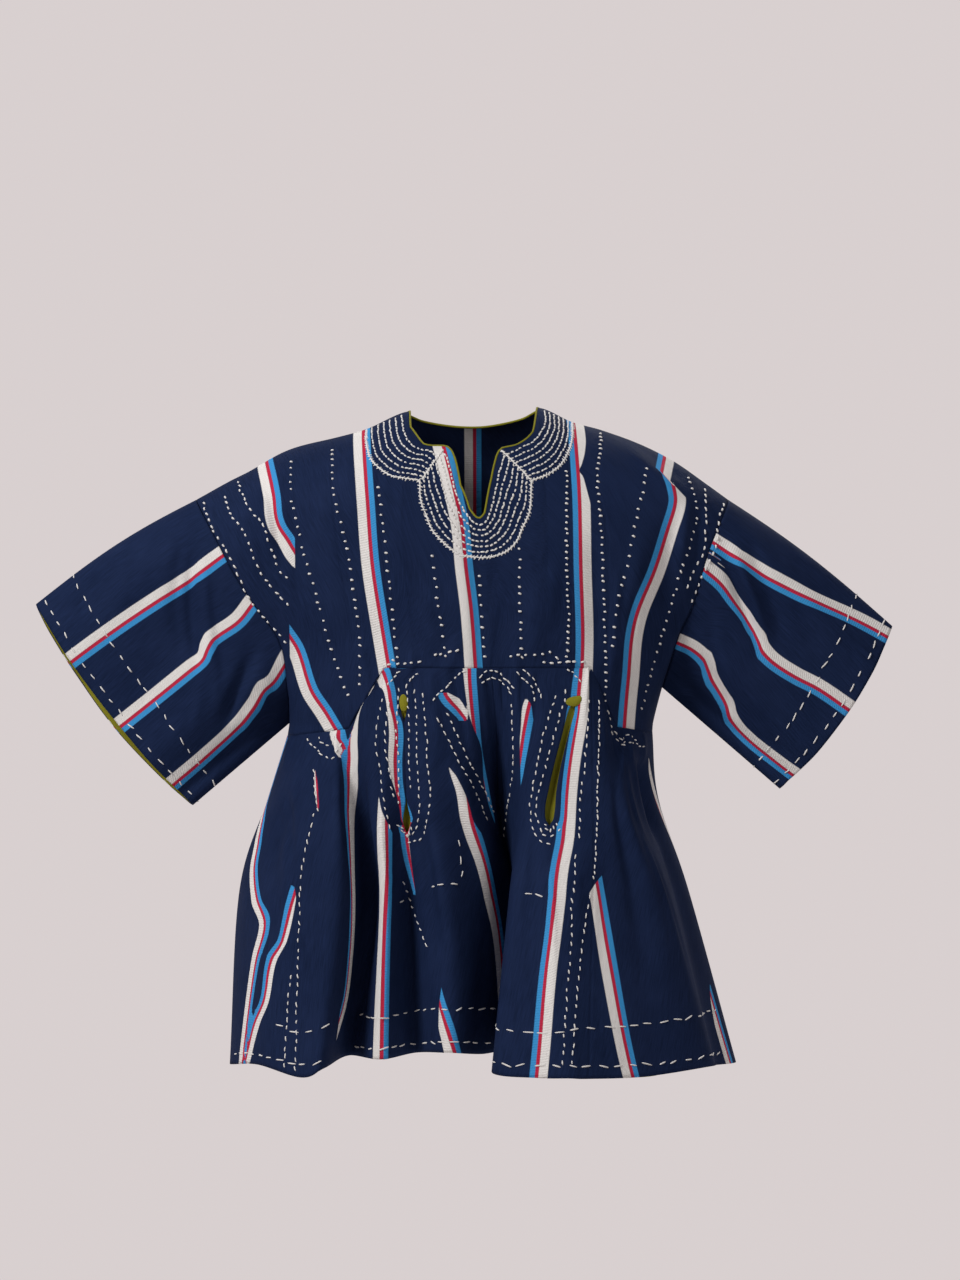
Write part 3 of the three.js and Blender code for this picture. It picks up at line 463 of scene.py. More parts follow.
def skirt_point(u, v):
    """Catmull-Rom curve through four neighbouring fold lines of the closed ring, each at v
    down its own path; the upper edge is laid on the yoke's edge, and creases lift the cloth
    away from the middle by bells across their own lines."""
    u, v = np.broadcast_arrays(np.asarray(u, float), np.asarray(v, float))
    i = np.floor(u).astype(int)
    t = u - i
    weights = (-0.5 * t + t**2 - 0.5 * t**3, 1 - 2.5 * t**2 + 1.5 * t**3,
               0.5 * t + 2 * t**2 - 1.5 * t**3, -0.5 * t**2 + 0.5 * t**3)
    fans = np.stack([np.stack([f(v.ravel()) for f in path], -1) for path in SKIRT_PATHS])
    fans = fans.reshape(SKIRT_COUNT, *v.shape, 3)
    where = np.indices(v.shape)
    point = sum(w[..., None] * fans[((i + k - 1) % SKIRT_COUNT, *where)]
                for k, w in enumerate(weights))
    front, back = [yoke_point(side, point[..., 0], waist(side, point[..., 0]))
                   for side in ("front", "back")]
    seam = np.where((u > SIDE_LEFT)[..., None], back, front)
    point = mix(seam, point, ease(v * SEAM_EASE)[..., None])
    lift = np.zeros(v.shape)
    for u0, v0, u1, v1, width, rise in each_row(SKIRT_CREASES):
        share = (v - v0) / (v1 - v0)
        aside = (u - mix(u0, u1, share)) / width
        lift += rise * np.exp(-aside**2) * ease(share * 3 + (v0 == 0)) * ease((1 - share) * 2)
    away = point * [1, 1, 0]
    away /= np.linalg.norm(away, axis=-1, keepdims=True)
    return point + away * (lift * ease(v * CREASE_EASE))[..., None]


# ---------------------------------------------------------------- meshes
def placed(name, data):
    """A new object with this data, linked to the scene."""
    item = bpy.data.objects.new(name, data)
    bpy.context.scene.collection.objects.link(item)
    return item


def new_object(name, vertices, faces, look):
    """A smooth piece of the one body, from points in millimetres and lists of corners."""
    mesh = bpy.data.meshes.new(name)
    mesh.from_pydata(vertices * MM, [], faces)
    mesh.polygons.foreach_set("use_smooth", np.ones(len(mesh.polygons), bool))
    mesh.materials.append(material(look))
    mesh.update()
    piece = placed(name, mesh)
    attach(piece, "root")
    return piece


def thicken(piece, thickness):
    """Gives a sheet its wall, half on each side of its points."""
    wall = piece.modifiers.new("wall", "SOLIDIFY")
    wall.thickness = thickness
    wall.offset = 0


def grid_faces(columns, rows, closed=False):
    """Quads of a grid of columns by rows; closed joins the last column to the first."""
    i = np.arange(columns - (0 if closed else 1))[:, None] * rows
    j = np.arange(rows - 1)[None]
    right = (i + rows) % (columns * rows)
    return np.stack([i + j, i + j + 1, right + j + 1, right + j], -1).reshape(-1, 4)


def run_length(grid, axis):
    """Length along an axis of the grid from its start, in millimetres."""
    steps = np.linalg.norm(np.diff(grid, axis=axis), axis=-1)
    start = np.zeros_like(np.take(steps, [0], axis))
    return np.concatenate([start, np.cumsum(steps, axis)], axis)


def cloth_piece(name, grid, stripe, seam, flip=False, closed=False, slit=None):
    """One cloth as a thin closed wall on its grid of points, with a UV map in metres of
    cloth and the distances that its weave and seams are painted from."""
    columns, rows = grid.shape[:2]
    faces = grid_faces(columns, rows, closed)
    points = grid.reshape(-1, 3).copy()
    values = {"stripe": stripe[0], "near_stripe": stripe[1], "seam": seam,
              "across": run_length(grid, 0), "down": run_length(grid, 1)}
    values = {key: np.asarray(value, float).ravel() for key, value in values.items()}
    if slit:
        points, values, faces = open_slit(points, values, faces, rows, slit)
    if flip:
        faces = faces[:, ::-1]
    piece = new_object(name, points, faces.tolist(), "navy_cloth")
    mesh = piece.data
    for key in ("stripe", "near_stripe", "seam"):
        attribute = mesh.attributes.new(key, "FLOAT", "POINT")
        attribute.data.foreach_set("value", values[key].astype(np.float32))
    corner = np.empty(len(mesh.loops), np.int32)
    mesh.loops.foreach_get("vertex_index", corner)
    uv = np.stack([values["across"][corner], values["down"][corner]], -1)
    if closed:
        mend_wrap(uv, faces, values["across"], rows, columns)
    layer = mesh.uv_layers.new(name="cloth")
    layer.data.foreach_set("uv", (uv * MM).astype(np.float32).ravel())
    thicken(piece, bpy.context.scene.smock_sizes.wall)
    return piece


def mend_wrap(uv, faces, across, rows, columns):
    """In the faces that close a ring, the corners in the first column lie past the last."""
    first = faces < rows
    wraps = first.any(1) & (faces >= rows * (columns - 1)).any(1)
    span = across[rows * (columns - 1):][faces % rows] * (1 + 1 / columns)
    move = (first & wraps[:, None]).ravel()
    uv[move, 0] += span.ravel()[move]


SLIT_REACH = 8      # columns on each side of a slit that move with it
SLIT_SOFT = 3.5     # columns over which that movement fades


def open_slit(points, values, faces, rows, slit):
    """Doubles a column between two rows and moves the cloth on both sides away from it by
    the slit's half widths, fading over the neighbouring columns."""
    column, first, halves = slit
    grid = points.reshape(-1, rows, 3)
    span = np.arange(first, first + len(halves))
    across = grid[column + 1, span] - grid[column - 1, span]
    across /= np.linalg.norm(across, axis=-1, keepdims=True)
    for k in range(1, SLIT_REACH + 1):
        fade = np.exp(-(k / SLIT_SOFT) ** 2)
        grid[column + k, span] += across * (halves * fade)[:, None]
        grid[column - k, span] -= across * (halves * fade)[:, None]
    inner = column * rows + span[1:-1]
    copies = len(points) + np.arange(len(inner))
    opened = grid.reshape(-1, 3)
    extra = opened[inner] + across[1:-1] * halves[1:-1, None]
    opened[inner] -= across[1:-1] * halves[1:-1, None]
    swap = np.arange(len(points))
    swap[inner] = copies
    far = (faces >= column * rows).all(1)
    faces = faces.copy()
    faces[far] = swap[faces[far]]
    values = {key: np.concatenate([value, value[inner]]) for key, value in values.items()}
    return np.concatenate([opened, extra]), values, faces


# ---------------------------------------------------------------- stripes
# A stripe is white, crimson and sky blue, 19 wide; order 1 puts the white on the side of
# lower x or earlier turn, -1 on the other side. Its path gives the place of its middle at
# rising levels. A cut hides the stripe on one side of a second path, as a pleat or a seam
# does: it shows where place minus cut has the sign that is given first.
STRIPE_EDGES = (0, 9.6, 13.4, 19)   # of its white, its crimson and its sky blue
STRIPE_WIDE = STRIPE_EDGES[-1]
BESIDE = 4      # how far past its edges a stripe is still looked for
SLOPE_REACH = 3     # distance up and down over which a stripe's slope is taken

SHOULDER_FOLD = [(-100, 224), (-84, 209), (-63, 188), (-45, 170)]   # a fold over a stripe
YOKE_STRIPES = {
    "front": [
        (1, [(-175, -186), (-160, -198), (-144, -208), (-130, -217), (-118, -221),
             (-95, -224), (-63, -233), (-30, -246)],
         (-1, [(-300, -198), (-40, -198)])),
        (1, [(-364, -146), (-331, -166), (-305, -183), (-262, -198), (-235, -216),
             (-200, -240)], (1, [(-300, -205), (-200, -205)])),
        (1, [(-290, -97), (-243, -105), (-173, -116), (-101, -122), (-25, -129), (5, -132)]),
        (1, [(-290, -6), (-222, -11), (-173, -17), (-131, -21), (-88, -30), (-40, -42)]),
        (-1, [(-290, 110), (-243, 111), (-173, 109), (-101, 108), (-35, 105), (5, 103)],
         (-1, [(-130, 124), (-91, 114), (-76, 110), (-70, 106), (-63, 109), (-48, 113),
               (-20, 116)])),
        (-1, [(-360, 156), (-326, 158), (-292, 161), (-249, 164), (-219, 171), (-176, 189),
              (-133, 203), (-103, 212), (-84, 210), (-72, 206)], (-1, SHOULDER_FOLD)),
        (-1, [(-86, 193), (-57, 202), (-30, 210)], (1, SHOULDER_FOLD))],
    "back": [
        (1, [(-360, -176), (-207, -206), (-130, -222), (-30, -242)]),
        (1, [(-360, -106), (-207, -116), (-130, -123), (5, -131)]),
        (1, [(-360, -12), (-207, -9), (-130, -8), (5, -8)]),
        (-1, [(-360, 98), (-207, 108), (-130, 109), (5, 104)]),
        (-1, [(-360, 160), (-207, 182), (-92, 204), (-30, 210)])],
}

# Sleeve stripes: levels run from the armhole (0) to the cuff (1), places are turns.
SLEEVE_STRIPES = {
    "right": [
        (1, [(0, 0.166), (0.3, 0.174), (1, 0.172)]),
        (1, [(0, 0.238), (0.13, 0.248), (0.3, 0.251), (0.36, 0.257), (0.42, 0.265),
             (0.5, 0.267), (0.74, 0.272), (1, 0.276)]),
        (1, [(0, 0.325), (0.1, 0.342), (0.18, 0.347), (0.27, 0.362), (0.4, 0.375),
             (0.71, 0.386), (1, 0.391)]),
        (-1, [(0, 0.62), (1, 0.61)]), (-1, [(0, 0.735), (1, 0.73)]),
        (-1, [(0, 0.84), (1, 0.835)])],
    "left": [
        (1, [(0, 0.158), (0.12, 0.157), (0.37, 0.151), (0.64, 0.128), (1, 0.075)]),
        (1, [(0, 0.207), (0.12, 0.211), (0.21, 0.222), (0.36, 0.24), (0.42, 0.251),
             (0.46, 0.259), (0.54, 0.262), (0.67, 0.257), (0.81, 0.247), (1, 0.24)]),
        (1, [(0, 0.335), (0.1, 0.328), (0.19, 0.329), (0.24, 0.339), (0.29, 0.351),
             (0.42, 0.37), (0.5, 0.393), (0.65, 0.403), (0.88, 0.401), (1, 0.398)]),
        (-1, [(0, 0.63), (1, 0.63)]), (-1, [(0, 0.74), (1, 0.75)]),
        (-1, [(0, 0.85), (1, 0.86)])],
}

# Skirt stripes: levels run from the waist (0) to the hem (3), places are fold lines.
SKIRT_STRIPES = [
    (1, [(0, 0.1), (1.0, 0.12), (1.3, 0.33), (1.55, 0.46), (1.8, 0.54), (2.03, 0.74),
         (2.19, 1.02), (2.42, 0.84), (2.64, 0.72), (2.92, 0.6), (3, 0.58)]),
    (-1, [(1.9, 1.92), (2.01, 1.84), (2.27, 1.58), (2.4, 1.28), (2.63, 1.14), (2.78, 0.88),
          (3, 0.68)],
     (-1, [(1.9, 1.82), (2.01, 1.88), (2.27, 1.68), (2.4, 1.38), (2.63, 1.24), (2.78, 1.0),
           (3, 0.8)])),
    (-1, [(0, 4.15), (0.1, 4.06), (0.8, 3.82), (1.76, 3.5), (2.05, 3.5), (2.4, 3.56),
          (2.65, 3.56), (2.84, 3.3), (3, 3.02)], (1, [(0, 4.35), (0.3, 3.4)])),
    (1, [(0.9, 5.34), (1.05, 5.28), (1.5, 5.18), (2.14, 4.92), (3, 4.96)],
     (-1, [(0.8, 4.7), (1.0, 5.1), (1.5, 5.8)])),
    (1, [(0, 4.88), (0.2, 5.24), (0.43, 5.56), (0.65, 5.54), (0.85, 5.6), (1.1, 5.8),
         (1.3, 6.0)],
     (-1, [(1.1, 6.2), (1.35, 5.6)]),
     (1, [(0, 4.6), (0.19, 5.08), (0.43, 5.34), (0.65, 5.36), (0.77, 5.46), (0.9, 5.64),
          (1.01, 5.76), (1.12, 5.9), (1.25, 6.05)])),
    (1, [(0, 3.24), (0.07, 3.3), (0.18, 3.46), (0.34, 3.7)], (-1, [(0, 4.35), (0.3, 3.4)])),
    (-1, [(1.2, 6.02), (1.47, 6.1), (1.74, 6.24), (1.96, 6.38)],
     (-1, [(1.2, 6.04), (1.5, 6.12), (1.96, 6.3)])),
    (1, [(0.7, 7.78), (0.9, 7.92), (1.2, 7.94), (1.5, 7.98), (1.95, 8.06), (2.27, 8.26),
         (3, 8.7)],
     (-1, [(0.7, 7.58), (0.75, 7.72), (0.89, 7.9), (1.01, 7.98), (1.17, 8.04), (1.38, 8.3),
           (1.5, 8.8)])),
    (-1, [(0.18, 7.6), (0.24, 7.76), (0.29, 7.92), (0.36, 8.14)],
     (-1, [(0.17, 7.58), (0.21, 7.9), (0.29, 8.1), (0.35, 8.12), (0.39, 8.06)])),
    (1, [(0, 8.24), (0.1, 8.22), (0.3, 8.22), (0.53, 8.26), (0.9, 8.36), (1.3, 8.45)],
     (1, [(0, 8.1), (0.3, 8.16), (0.41, 8.26), (0.55, 8.42), (0.85, 8.42), (1.2, 8.6)])),
    (1, [(0.2, 10.7), (0.25, 10.6), (0.38, 10.4), (0.55, 10.1), (0.77, 9.82), (0.95, 9.56)],
     (1, [(0.2, 10.56), (0.27, 10.38), (0.41, 10.22), (0.5, 10.12), (0.7, 10.06), (0.89, 10)]),
     (-1, [(0.19, 10.5), (0.22, 10.58), (0.25, 10.72), (0.32, 10.8), (0.43, 10.95)])),
    (1, [(2.46, 6.6), (2.7, 6.78), (3, 7.1)],
     (1, [(2.46, 7.0), (2.7, 6.8), (3, 6.7)])),
    (-1, [(0, 12.02), (0.1, 12.12), (0.3, 12.34), (0.55, 12.38), (1.31, 12.36), (1.92, 11.9),
          (2.19, 11.42), (2.43, 11.18), (2.87, 11.04), (3, 11)]),
    (1, [(1.7, 12.95), (1.82, 13.04), (2.24, 13.32), (3, 13.77)],
     (1, [(1.6, 13.8), (1.8, 13.15), (2.06, 12.6)])),
    (1, [(0.5, 1.9), (0.8, 2.0), (1.14, 2.1)], (1, [(0.5, 1.88), (0.8, 1.95), (1.14, 2.13)]),
     (-1, [(0.5, 1.88), (0.65, 2.0), (0.9, 2.08), (1.14, 2.13)])),
    (-1, [(0.4, 16.35), (0.65, 16.5), (1.2, 16.8), (1.9, 16.9)],
     (1, [(0.4, 16.5), (0.65, 16.55), (1.2, 16.78), (2.2, 17.2)])),
    (1, [(2.51, 16.45), (2.77, 16.5), (3, 16.55)],
     (1, [(2.45, 16.9), (2.61, 16.5), (2.82, 16.35), (3, 16.3)])),
    *[(order, [(0, line), (3, line)]) for order, line in [
        (1, 18.9), (-1, 20.5), (1, 22.4), (-1, 24.4), (1, 26.4), (-1, 28.5)]]]


def curve_of(pairs):
    """Smooth curve through (level, place) pairs."""
    levels, places = zip(*pairs)
    return through(levels, places)


def nearest_stripe(offsets, shown):
    """Of several stripes, the one whose middle is nearest at each point: distance from its
    white edge, and how far inside the region where it shows the point lies."""
    offsets, shown = np.stack(offsets), np.stack(shown)
    near = STRIPE_WIDE / 2 + BESIDE - np.abs(offsets - STRIPE_WIDE / 2)
    near = np.minimum(near, shown)
    pick = near.argmax(0)[None]
    return np.take_along_axis(offsets, pick, 0)[0], np.take_along_axis(near, pick, 0)[0]


def yoke_stripes(side, grid):
    """Stripes by their offset in the front view, at a right angle to their own slope."""
    x, z = grid[..., 0], grid[..., 2]
    offsets, shown = [], []
    for order, pairs, *cuts in YOKE_STRIPES[side]:
        middle = curve_of(pairs)
        slope = (middle(z + SLOPE_REACH) - middle(z - SLOPE_REACH)) / (2 * SLOPE_REACH)
        offsets.append((x - middle(z)) / np.hypot(1, slope) * order + STRIPE_WIDE / 2)
        ends = np.minimum(z - pairs[0][0], pairs[-1][0] - z) + 1
        shown.append(np.min([ends] + [
            (x - curve_of(edge)(z)) * sign for sign, edge in cuts], axis=0))
    return nearest_stripe(offsets, shown)


def grid_stripes(rows, grid, levels, places):
    """Stripes by their offset along the cloth's own length across, times the sine of the
    angle between the stripe's path and the row; a stripe ends where its path does. Levels
    and places are the grid's coordinates down and across."""
    across, down = run_length(grid, 0), run_length(grid, 1)
    row_way = unit(np.gradient(grid, axis=0))
    j = np.arange(len(levels))

    def at(pairs, values):
        column = np.interp(curve_of(pairs)(levels), places, np.arange(len(places)))
        low = np.minimum(column.astype(int), len(places) - 2)
        part = (column - low).reshape(-1, *[1] * (values.ndim - 2))
        return mix(values[low, j], values[low + 1, j], part)

    offsets, shown = [], []
    for order, pairs, *cuts in rows:
        way = unit(np.gradient(at(pairs, grid), axis=0))
        sine = np.linalg.norm(np.cross(way, at(pairs, row_way)), axis=-1)
        offsets.append((across - at(pairs, across)) * sine * order + STRIPE_WIDE / 2)
        length = at(pairs, down)
        first, last = np.interp([pairs[0][0], pairs[-1][0]], levels, length)
        ends = np.minimum(length - first, last - length) + 1
        shown.append(np.min([np.broadcast_to(ends, across.shape)] + [
            (across - at(edge, across)) * sign for sign, edge in cuts], axis=0))
    return nearest_stripe(offsets, shown)


# ---------------------------------------------------------------- materials
class Value:
    """A shader socket that takes part in Python arithmetic by adding Math nodes."""

    def __init__(self, paint, socket):
        self.paint, self.socket = paint, socket

    def _math(self, operation, *others, clamp=False):
        node = self.paint.node("ShaderNodeMath", {"operation": operation, "use_clamp": clamp},
                               dict(enumerate((self, *others))))
        return Value(self.paint, node.outputs[0])

    def __add__(self, other):
        return self._math("ADD", other)

    def __sub__(self, other):
        return self._math("SUBTRACT", other)

    def __mul__(self, other):
        return self._math("MULTIPLY", other)

    def __truediv__(self, other):
        return self._math("DIVIDE", other)

    def __rsub__(self, other):
        return self._math("MULTIPLY", -1)._math("ADD", other)

    __radd__, __rmul__ = __add__, __mul__

    def sine(self):
        return self._math("SINE")

    def size(self):
        return self._math("ABSOLUTE")

    def past(self, edge, soft):
        """0 below the edge and 1 above it, over a soft width."""
        return ((self - edge) / soft + 0.5)._math("MULTIPLY", 1, clamp=True)


class Paint:
    """Node builder for one material."""

    def __init__(self, name):
        self.material = bpy.data.materials.new(f"woven_{name}")
        self.material.use_nodes = True
        self.tree = self.material.node_tree
        self.shader = self.tree.nodes["Principled BSDF"]

    def node(self, kind, settings=(), inputs=()):
        """Adds a node, then its settings, then the values or links of its sockets."""
        node = self.tree.nodes.new(kind)
        for key, value in dict(settings).items():
            setattr(node, key, value)
        self.plug(node, dict(inputs))
        return node

    def plug(self, node, inputs):
        for key, value in inputs.items():
            socket = node.inputs[key]
            value = value.socket if isinstance(value, Value) else value
            if isinstance(value, bpy.types.NodeSocket):
                self.tree.links.new(value, socket)
            else:
                socket.default_value = value

    def attribute(self, name):
        node = self.node("ShaderNodeAttribute", {"attribute_name": name})
        return Value(self, node.outputs["Fac"])

    def cloth_map(self):
        """Metres of cloth across and along, and the same as one vector."""
        uv = self.node("ShaderNodeUVMap", {"uv_map": "cloth"}).outputs[0]
        parts = self.node("ShaderNodeSeparateXYZ", {}, {0: uv})
        return Value(self, parts.outputs[0]), Value(self, parts.outputs[1]), uv

    def noise(self, vector, scale, detail=2.0, stretch=(1, 1, 1)):
        placed = self.node("ShaderNodeMapping", {}, {"Vector": vector, "Scale": stretch})
        node = self.node("ShaderNodeTexNoise", {}, {
            "Vector": placed.outputs[0], "Scale": scale, "Detail": detail})
        return Value(self, node.outputs["Fac"])

    def colours(self, mask, first, second):
        node = self.node("ShaderNodeMix", {"data_type": "RGBA"}, {
            "Factor": mask, 6: first, 7: second})
        return node.outputs[2]

    def bump(self, height, distance, strength=1.0):
        node = self.node("ShaderNodeBump", {}, {
            "Height": height, "Distance": distance, "Strength": strength})
        return node.outputs[0]


def rgba(colour):
    return (*colour, 1.0)


YARN = 0.9      # soft width between two yarns of a stripe, in millimetres


def cloth_material(sizes):
    """Navy plain weave with slubs along the warp, the woven stripe and pressed seams."""
    paint = Paint("navy_cloth")
    across, along, uv = paint.cloth_map()
    stripe, seam = paint.attribute("stripe"), paint.attribute("seam")
    slub = paint.noise(uv, 900, 2, (1, 0.05, 1))
    cloud = paint.noise(uv, 14, 3)
    rumple = paint.noise(uv, 30, 2.5, (1, 0.4, 1))
    navy = paint.colours(slub.past(0.5, 0.5), rgba(sizes.navy_dark), rgba(sizes.navy_light))
    # painted sheen: a lighter, bluer navy mixed in over soft patches picked by the cloud noise
    painted_sheen = paint.colours(cloud.past(0.55, 0.5) * 0.35, navy, rgba(sizes.painted_sheen_colour))
    white = paint.colours(slub, rgba(sizes.white_shade), rgba(sizes.white))
    near = paint.attribute("near_stripe").past(0, 0.8)
    bands = [near * stripe.past(low, YARN) * (1 - stripe.past(high, YARN))
             for low, high in zip(STRIPE_EDGES, STRIPE_EDGES[1:])]
    colour = painted_sheen
    for band, yarn in zip(bands, (white, rgba(sizes.crimson), rgba(sizes.sky))):
        colour = paint.colours(band, colour, yarn)
    pitch = 2 * np.pi / sizes.thread_pitch
    weave = (across * pitch).sine() * (along * pitch).sine()
    rib = (along * (pitch * 0.6)).sine() * (bands[0] + bands[1] + bands[2])
    groove = 1 - seam.size().past(1.6, 2.4)
    height = weave * 0.35 + rib * 0.7 + slub * 0.5 + rumple * 9 - groove * 3.0
    paint.plug(paint.shader, {
        "Base Color": colour,
        "Roughness": 0.72 + slub * 0.16,
        "Specular IOR Level": 0.04,
        "Normal": paint.bump(height, 0.00018),
    })
    return paint.material


def plain_cloth_material(name, dark, light, pitch):
    """Plain weave in one colour, for facings and binding, patterned in object space."""
    paint = Paint(name)
    place = paint.node("ShaderNodeTexCoord").outputs["Object"]
    slub = paint.noise(place, 700, 2, (1, 1, 0.15))
    cloud = paint.noise(place, 30, 2)
    parts = paint.node("ShaderNodeSeparateXYZ", {}, {0: place})
    wave = 2 * np.pi / pitch
    weave = (Value(paint, parts.outputs[0]) * wave).sine() * (
        Value(paint, parts.outputs[2]) * wave).sine()
    tone = paint.colours(slub * 0.6 + cloud * 0.4, rgba(dark), rgba(light))
    paint.plug(paint.shader, {
        "Base Color": tone, "Roughness": 0.8 + slub * 0.15, "Specular IOR Level": 0.2,
        "Normal": paint.bump(weave * 0.4 + slub * 0.6, 0.00018)})
    return paint.material


def thread_material(sizes):
    """Thick white cotton thread with its twist as fine bands."""
    paint = Paint("white_thread")
    place = paint.node("ShaderNodeTexCoord").outputs["Object"]
    fuzz = paint.noise(place, 1800, 2)
    tone = paint.colours(fuzz, rgba(sizes.white_shade), rgba(sizes.thread))
    paint.plug(paint.shader, {
        "Base Color": tone, "Roughness": 0.75 + fuzz * 0.2, "Specular IOR Level": 0.3,
        "Normal": paint.bump(fuzz, 0.0003)})
    return paint.material


def material(name):
    """The named material, made on first use from the scene's sizes and colours."""
    found = bpy.data.materials.get(f"woven_{name}")
    if found:
        return found
    sizes = bpy.context.scene.smock_sizes
    if name == "navy_cloth":
        return cloth_material(sizes)
    if name == "olive_cloth":
        return plain_cloth_material(name, sizes.olive_dark, sizes.olive, 0.0011)
    return thread_material(sizes)


def finish_piece(piece, node, slot, flat=None, area=None):
    """Hides the frame part that the piece stands for; slot, flat and area are not used."""
    if node:
        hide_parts(node)
    return piece


# ---------------------------------------------------------------- sewing
def resample(path, step):
    """Points at even steps along a polyline, with their unit directions."""
    gaps = np.linalg.norm(np.diff(path, axis=0), axis=1)
    path = path[np.concatenate([[True], gaps > 1e-6])]
    length = run_length(path, 0)
    count = max(int(round(length[-1] / step)), 1)
    at = (np.arange(count) + 0.5) * length[-1] / count
    points, ahead, behind = [
        np.stack([np.interp(place, length, path[:, k]) for k in range(3)], -1)
        for place in (at, at + step * 0.4, at - step * 0.4)]
    return points, unit(ahead - behind)


# Rings of a stitch: place along it, girth, and rise over the cloth, the last two in radii.
STITCH_RINGS = ((-1.0, 0.30, -0.55), (-0.72, 0.85, -0.05), (0.0, 1.0, 0.25),
                (0.72, 0.85, -0.05), (1.0, 0.30, -0.55))
STITCH_SIDES = 6
STITCH_RISE = 0.35      # of the whole stitch, in radii
STITCH_FLAT = 0.85      # thickness of a stitch against its width
LEAN = 0.16             # spread of a stitch's angle, in radians
DRIFT = 0.09            # spread of its place along the row, in steps
LENGTHS, GIRTHS = (0.7, 1.2), (0.88, 1.1)   # least and most, against the usual
NECK_SEED, FIRST_SEED = 11, 30      # of the embroidery and of the first group of rows


def stitch_mesh(centres, along, normals, length, radius):
    """Each stitch is five six-sided rings along its thread, thickest in the middle, whose
    ends dip into the cloth. All stitches of a group are one mesh."""
    side = unit(np.cross(normals, along))
    turn = 2 * np.pi * np.arange(STITCH_SIDES) / STITCH_SIDES
    rings = []
    for place, girth, rise in STITCH_RINGS:
        middle = centres + along * (place * length / 2)[:, None]
        middle = middle + normals * (radius * (rise + STITCH_RISE))[:, None]
        reach = (radius * girth)[:, None, None]
        rings.append(middle[:, None] + reach * (
            side[:, None] * np.cos(turn)[None, :, None]
            + normals[:, None] * STITCH_FLAT * np.sin(turn)[None, :, None]))
    vertices = np.stack(rings, 1)
    count = len(centres)
    base = np.arange(count)[:, None, None] * (len(STITCH_RINGS) * STITCH_SIDES)
    ring = np.arange(len(STITCH_RINGS) - 1)[None, :, None] * STITCH_SIDES
    here = np.arange(STITCH_SIDES)[None, None]
    after = (here + 1) % STITCH_SIDES
    quads = np.stack([base + ring + here, base + ring + after,
                      base + ring + STITCH_SIDES + after, base + ring + STITCH_SIDES + here], -1)
    last = (len(STITCH_RINGS) - 1) * STITCH_SIDES
    ends = np.concatenate([
        base[:, 0] + np.arange(STITCH_SIDES)[None, ::-1], base[:, 0] + last + here[0]])
    return vertices.reshape(-1, 3), quads.reshape(-1, 4).tolist() + ends.tolist()


class Sewing:
    """Collects stitches for one joined mesh; its jitter comes from a seeded generator."""

    def __init__(self, seed):
        self.random = np.random.default_rng(seed)
        self.centres, self.along, self.normals, self.lengths, self.radii = [], [], [], [], []

    def row(self, path, normals_at, step, length, radius, slant=0.0, weave=0.25):
        """Stitches at even steps along a path; slant turns each away from the path."""
        points, ahead = resample(path, step)
        normals = normals_at(points)
        ahead = unit(ahead - normals * (ahead * normals).sum(1, keepdims=True))
        side = np.cross(normals, ahead)
        count = len(points)
        angle = slant + self.random.normal(0, LEAN, count)
        points = points + side * self.random.normal(0, weave, count)[:, None]
        points = points + ahead * self.random.normal(0, step * DRIFT, count)[:, None]
        self.centres.append(points)
        self.along.append(ahead * np.cos(angle)[:, None] + side * np.sin(angle)[:, None])
        self.normals.append(normals)
        self.lengths.append(length * self.random.uniform(*LENGTHS, count))
        self.radii.append(radius * self.random.uniform(*GIRTHS, count))

    def piece(self, name):
        vertices, faces = stitch_mesh(*(np.concatenate(part) for part in (
            self.centres, self.along, self.normals, self.lengths, self.radii)))
        piece = new_object(name, vertices, faces, "white_thread")
        return finish_piece(piece, None, "white_thread")


PATH_STEPS = 24     # between two points of a path


def surface_path(surface, points):
    """A path on a surface through its parameter points, and a function that gives the
    surface's normals there."""
    at = np.arange(len(points))
    fine = np.linspace(0, at[-1], PATH_STEPS * at[-1] + 1)
    a, b = [through(at, values)(fine) for values in zip(*points)]
    return raised(surface, a, b)


def raised(surface, a, b):
    """The surface's points at (a, b) lifted to the cloth's outer face, and a function that
    gives the normal of the nearest of them."""
    normals = surface.normals(a, b)
    path = surface(a, b) + normals * (bpy.context.scene.smock_sizes.wall / MM / 2)

    def normals_at(points):
        nearest = np.linalg.norm(points[:, None] - path[None], axis=-1).argmin(1)
        return normals[nearest]
    return path, normals_at


class Surface:
    """A surface function whose normals are the cross product of its slopes along both
    parameters, turned outwards by a sign; step is the size of a small move in them."""

    def __init__(self, function, sign, step):
        self.function, self.sign, self.step = function, sign, step

    def __call__(self, a, b):
        return self.function(a, b)

    def normals(self, a, b):
        slope_a = self(a + self.step, b) - self(a - self.step, b)
        slope_b = self(a, b + self.step) - self(a, b - self.step)
        return unit(np.cross(slope_a, slope_b)) * self.sign


def yoke_surface(side):
    return Surface(lambda x, z: yoke_point(side, x, z), -FACING[side], 0.05)


def sleeve_surface(name):
    sleeve = SLEEVES[name]
    return Surface(lambda s, turn: sleeve_point(sleeve, s, turn), -sleeve.sign, 0.002)


SKIRT_SURFACE = Surface(skirt_point, -1, 0.004)


def lifted(surface, a, b, lift):
    """The surface's points moved along its outward normals by lift."""
    a, b = np.broadcast_arrays(np.asarray(a, float), np.asarray(b, float))
    return surface(a, b) + surface.normals(a, b) * np.broadcast_to(lift, a.shape)[..., None]


INSIDE = -1.8       # middle of a facing, below the middle of the cloth that it lines


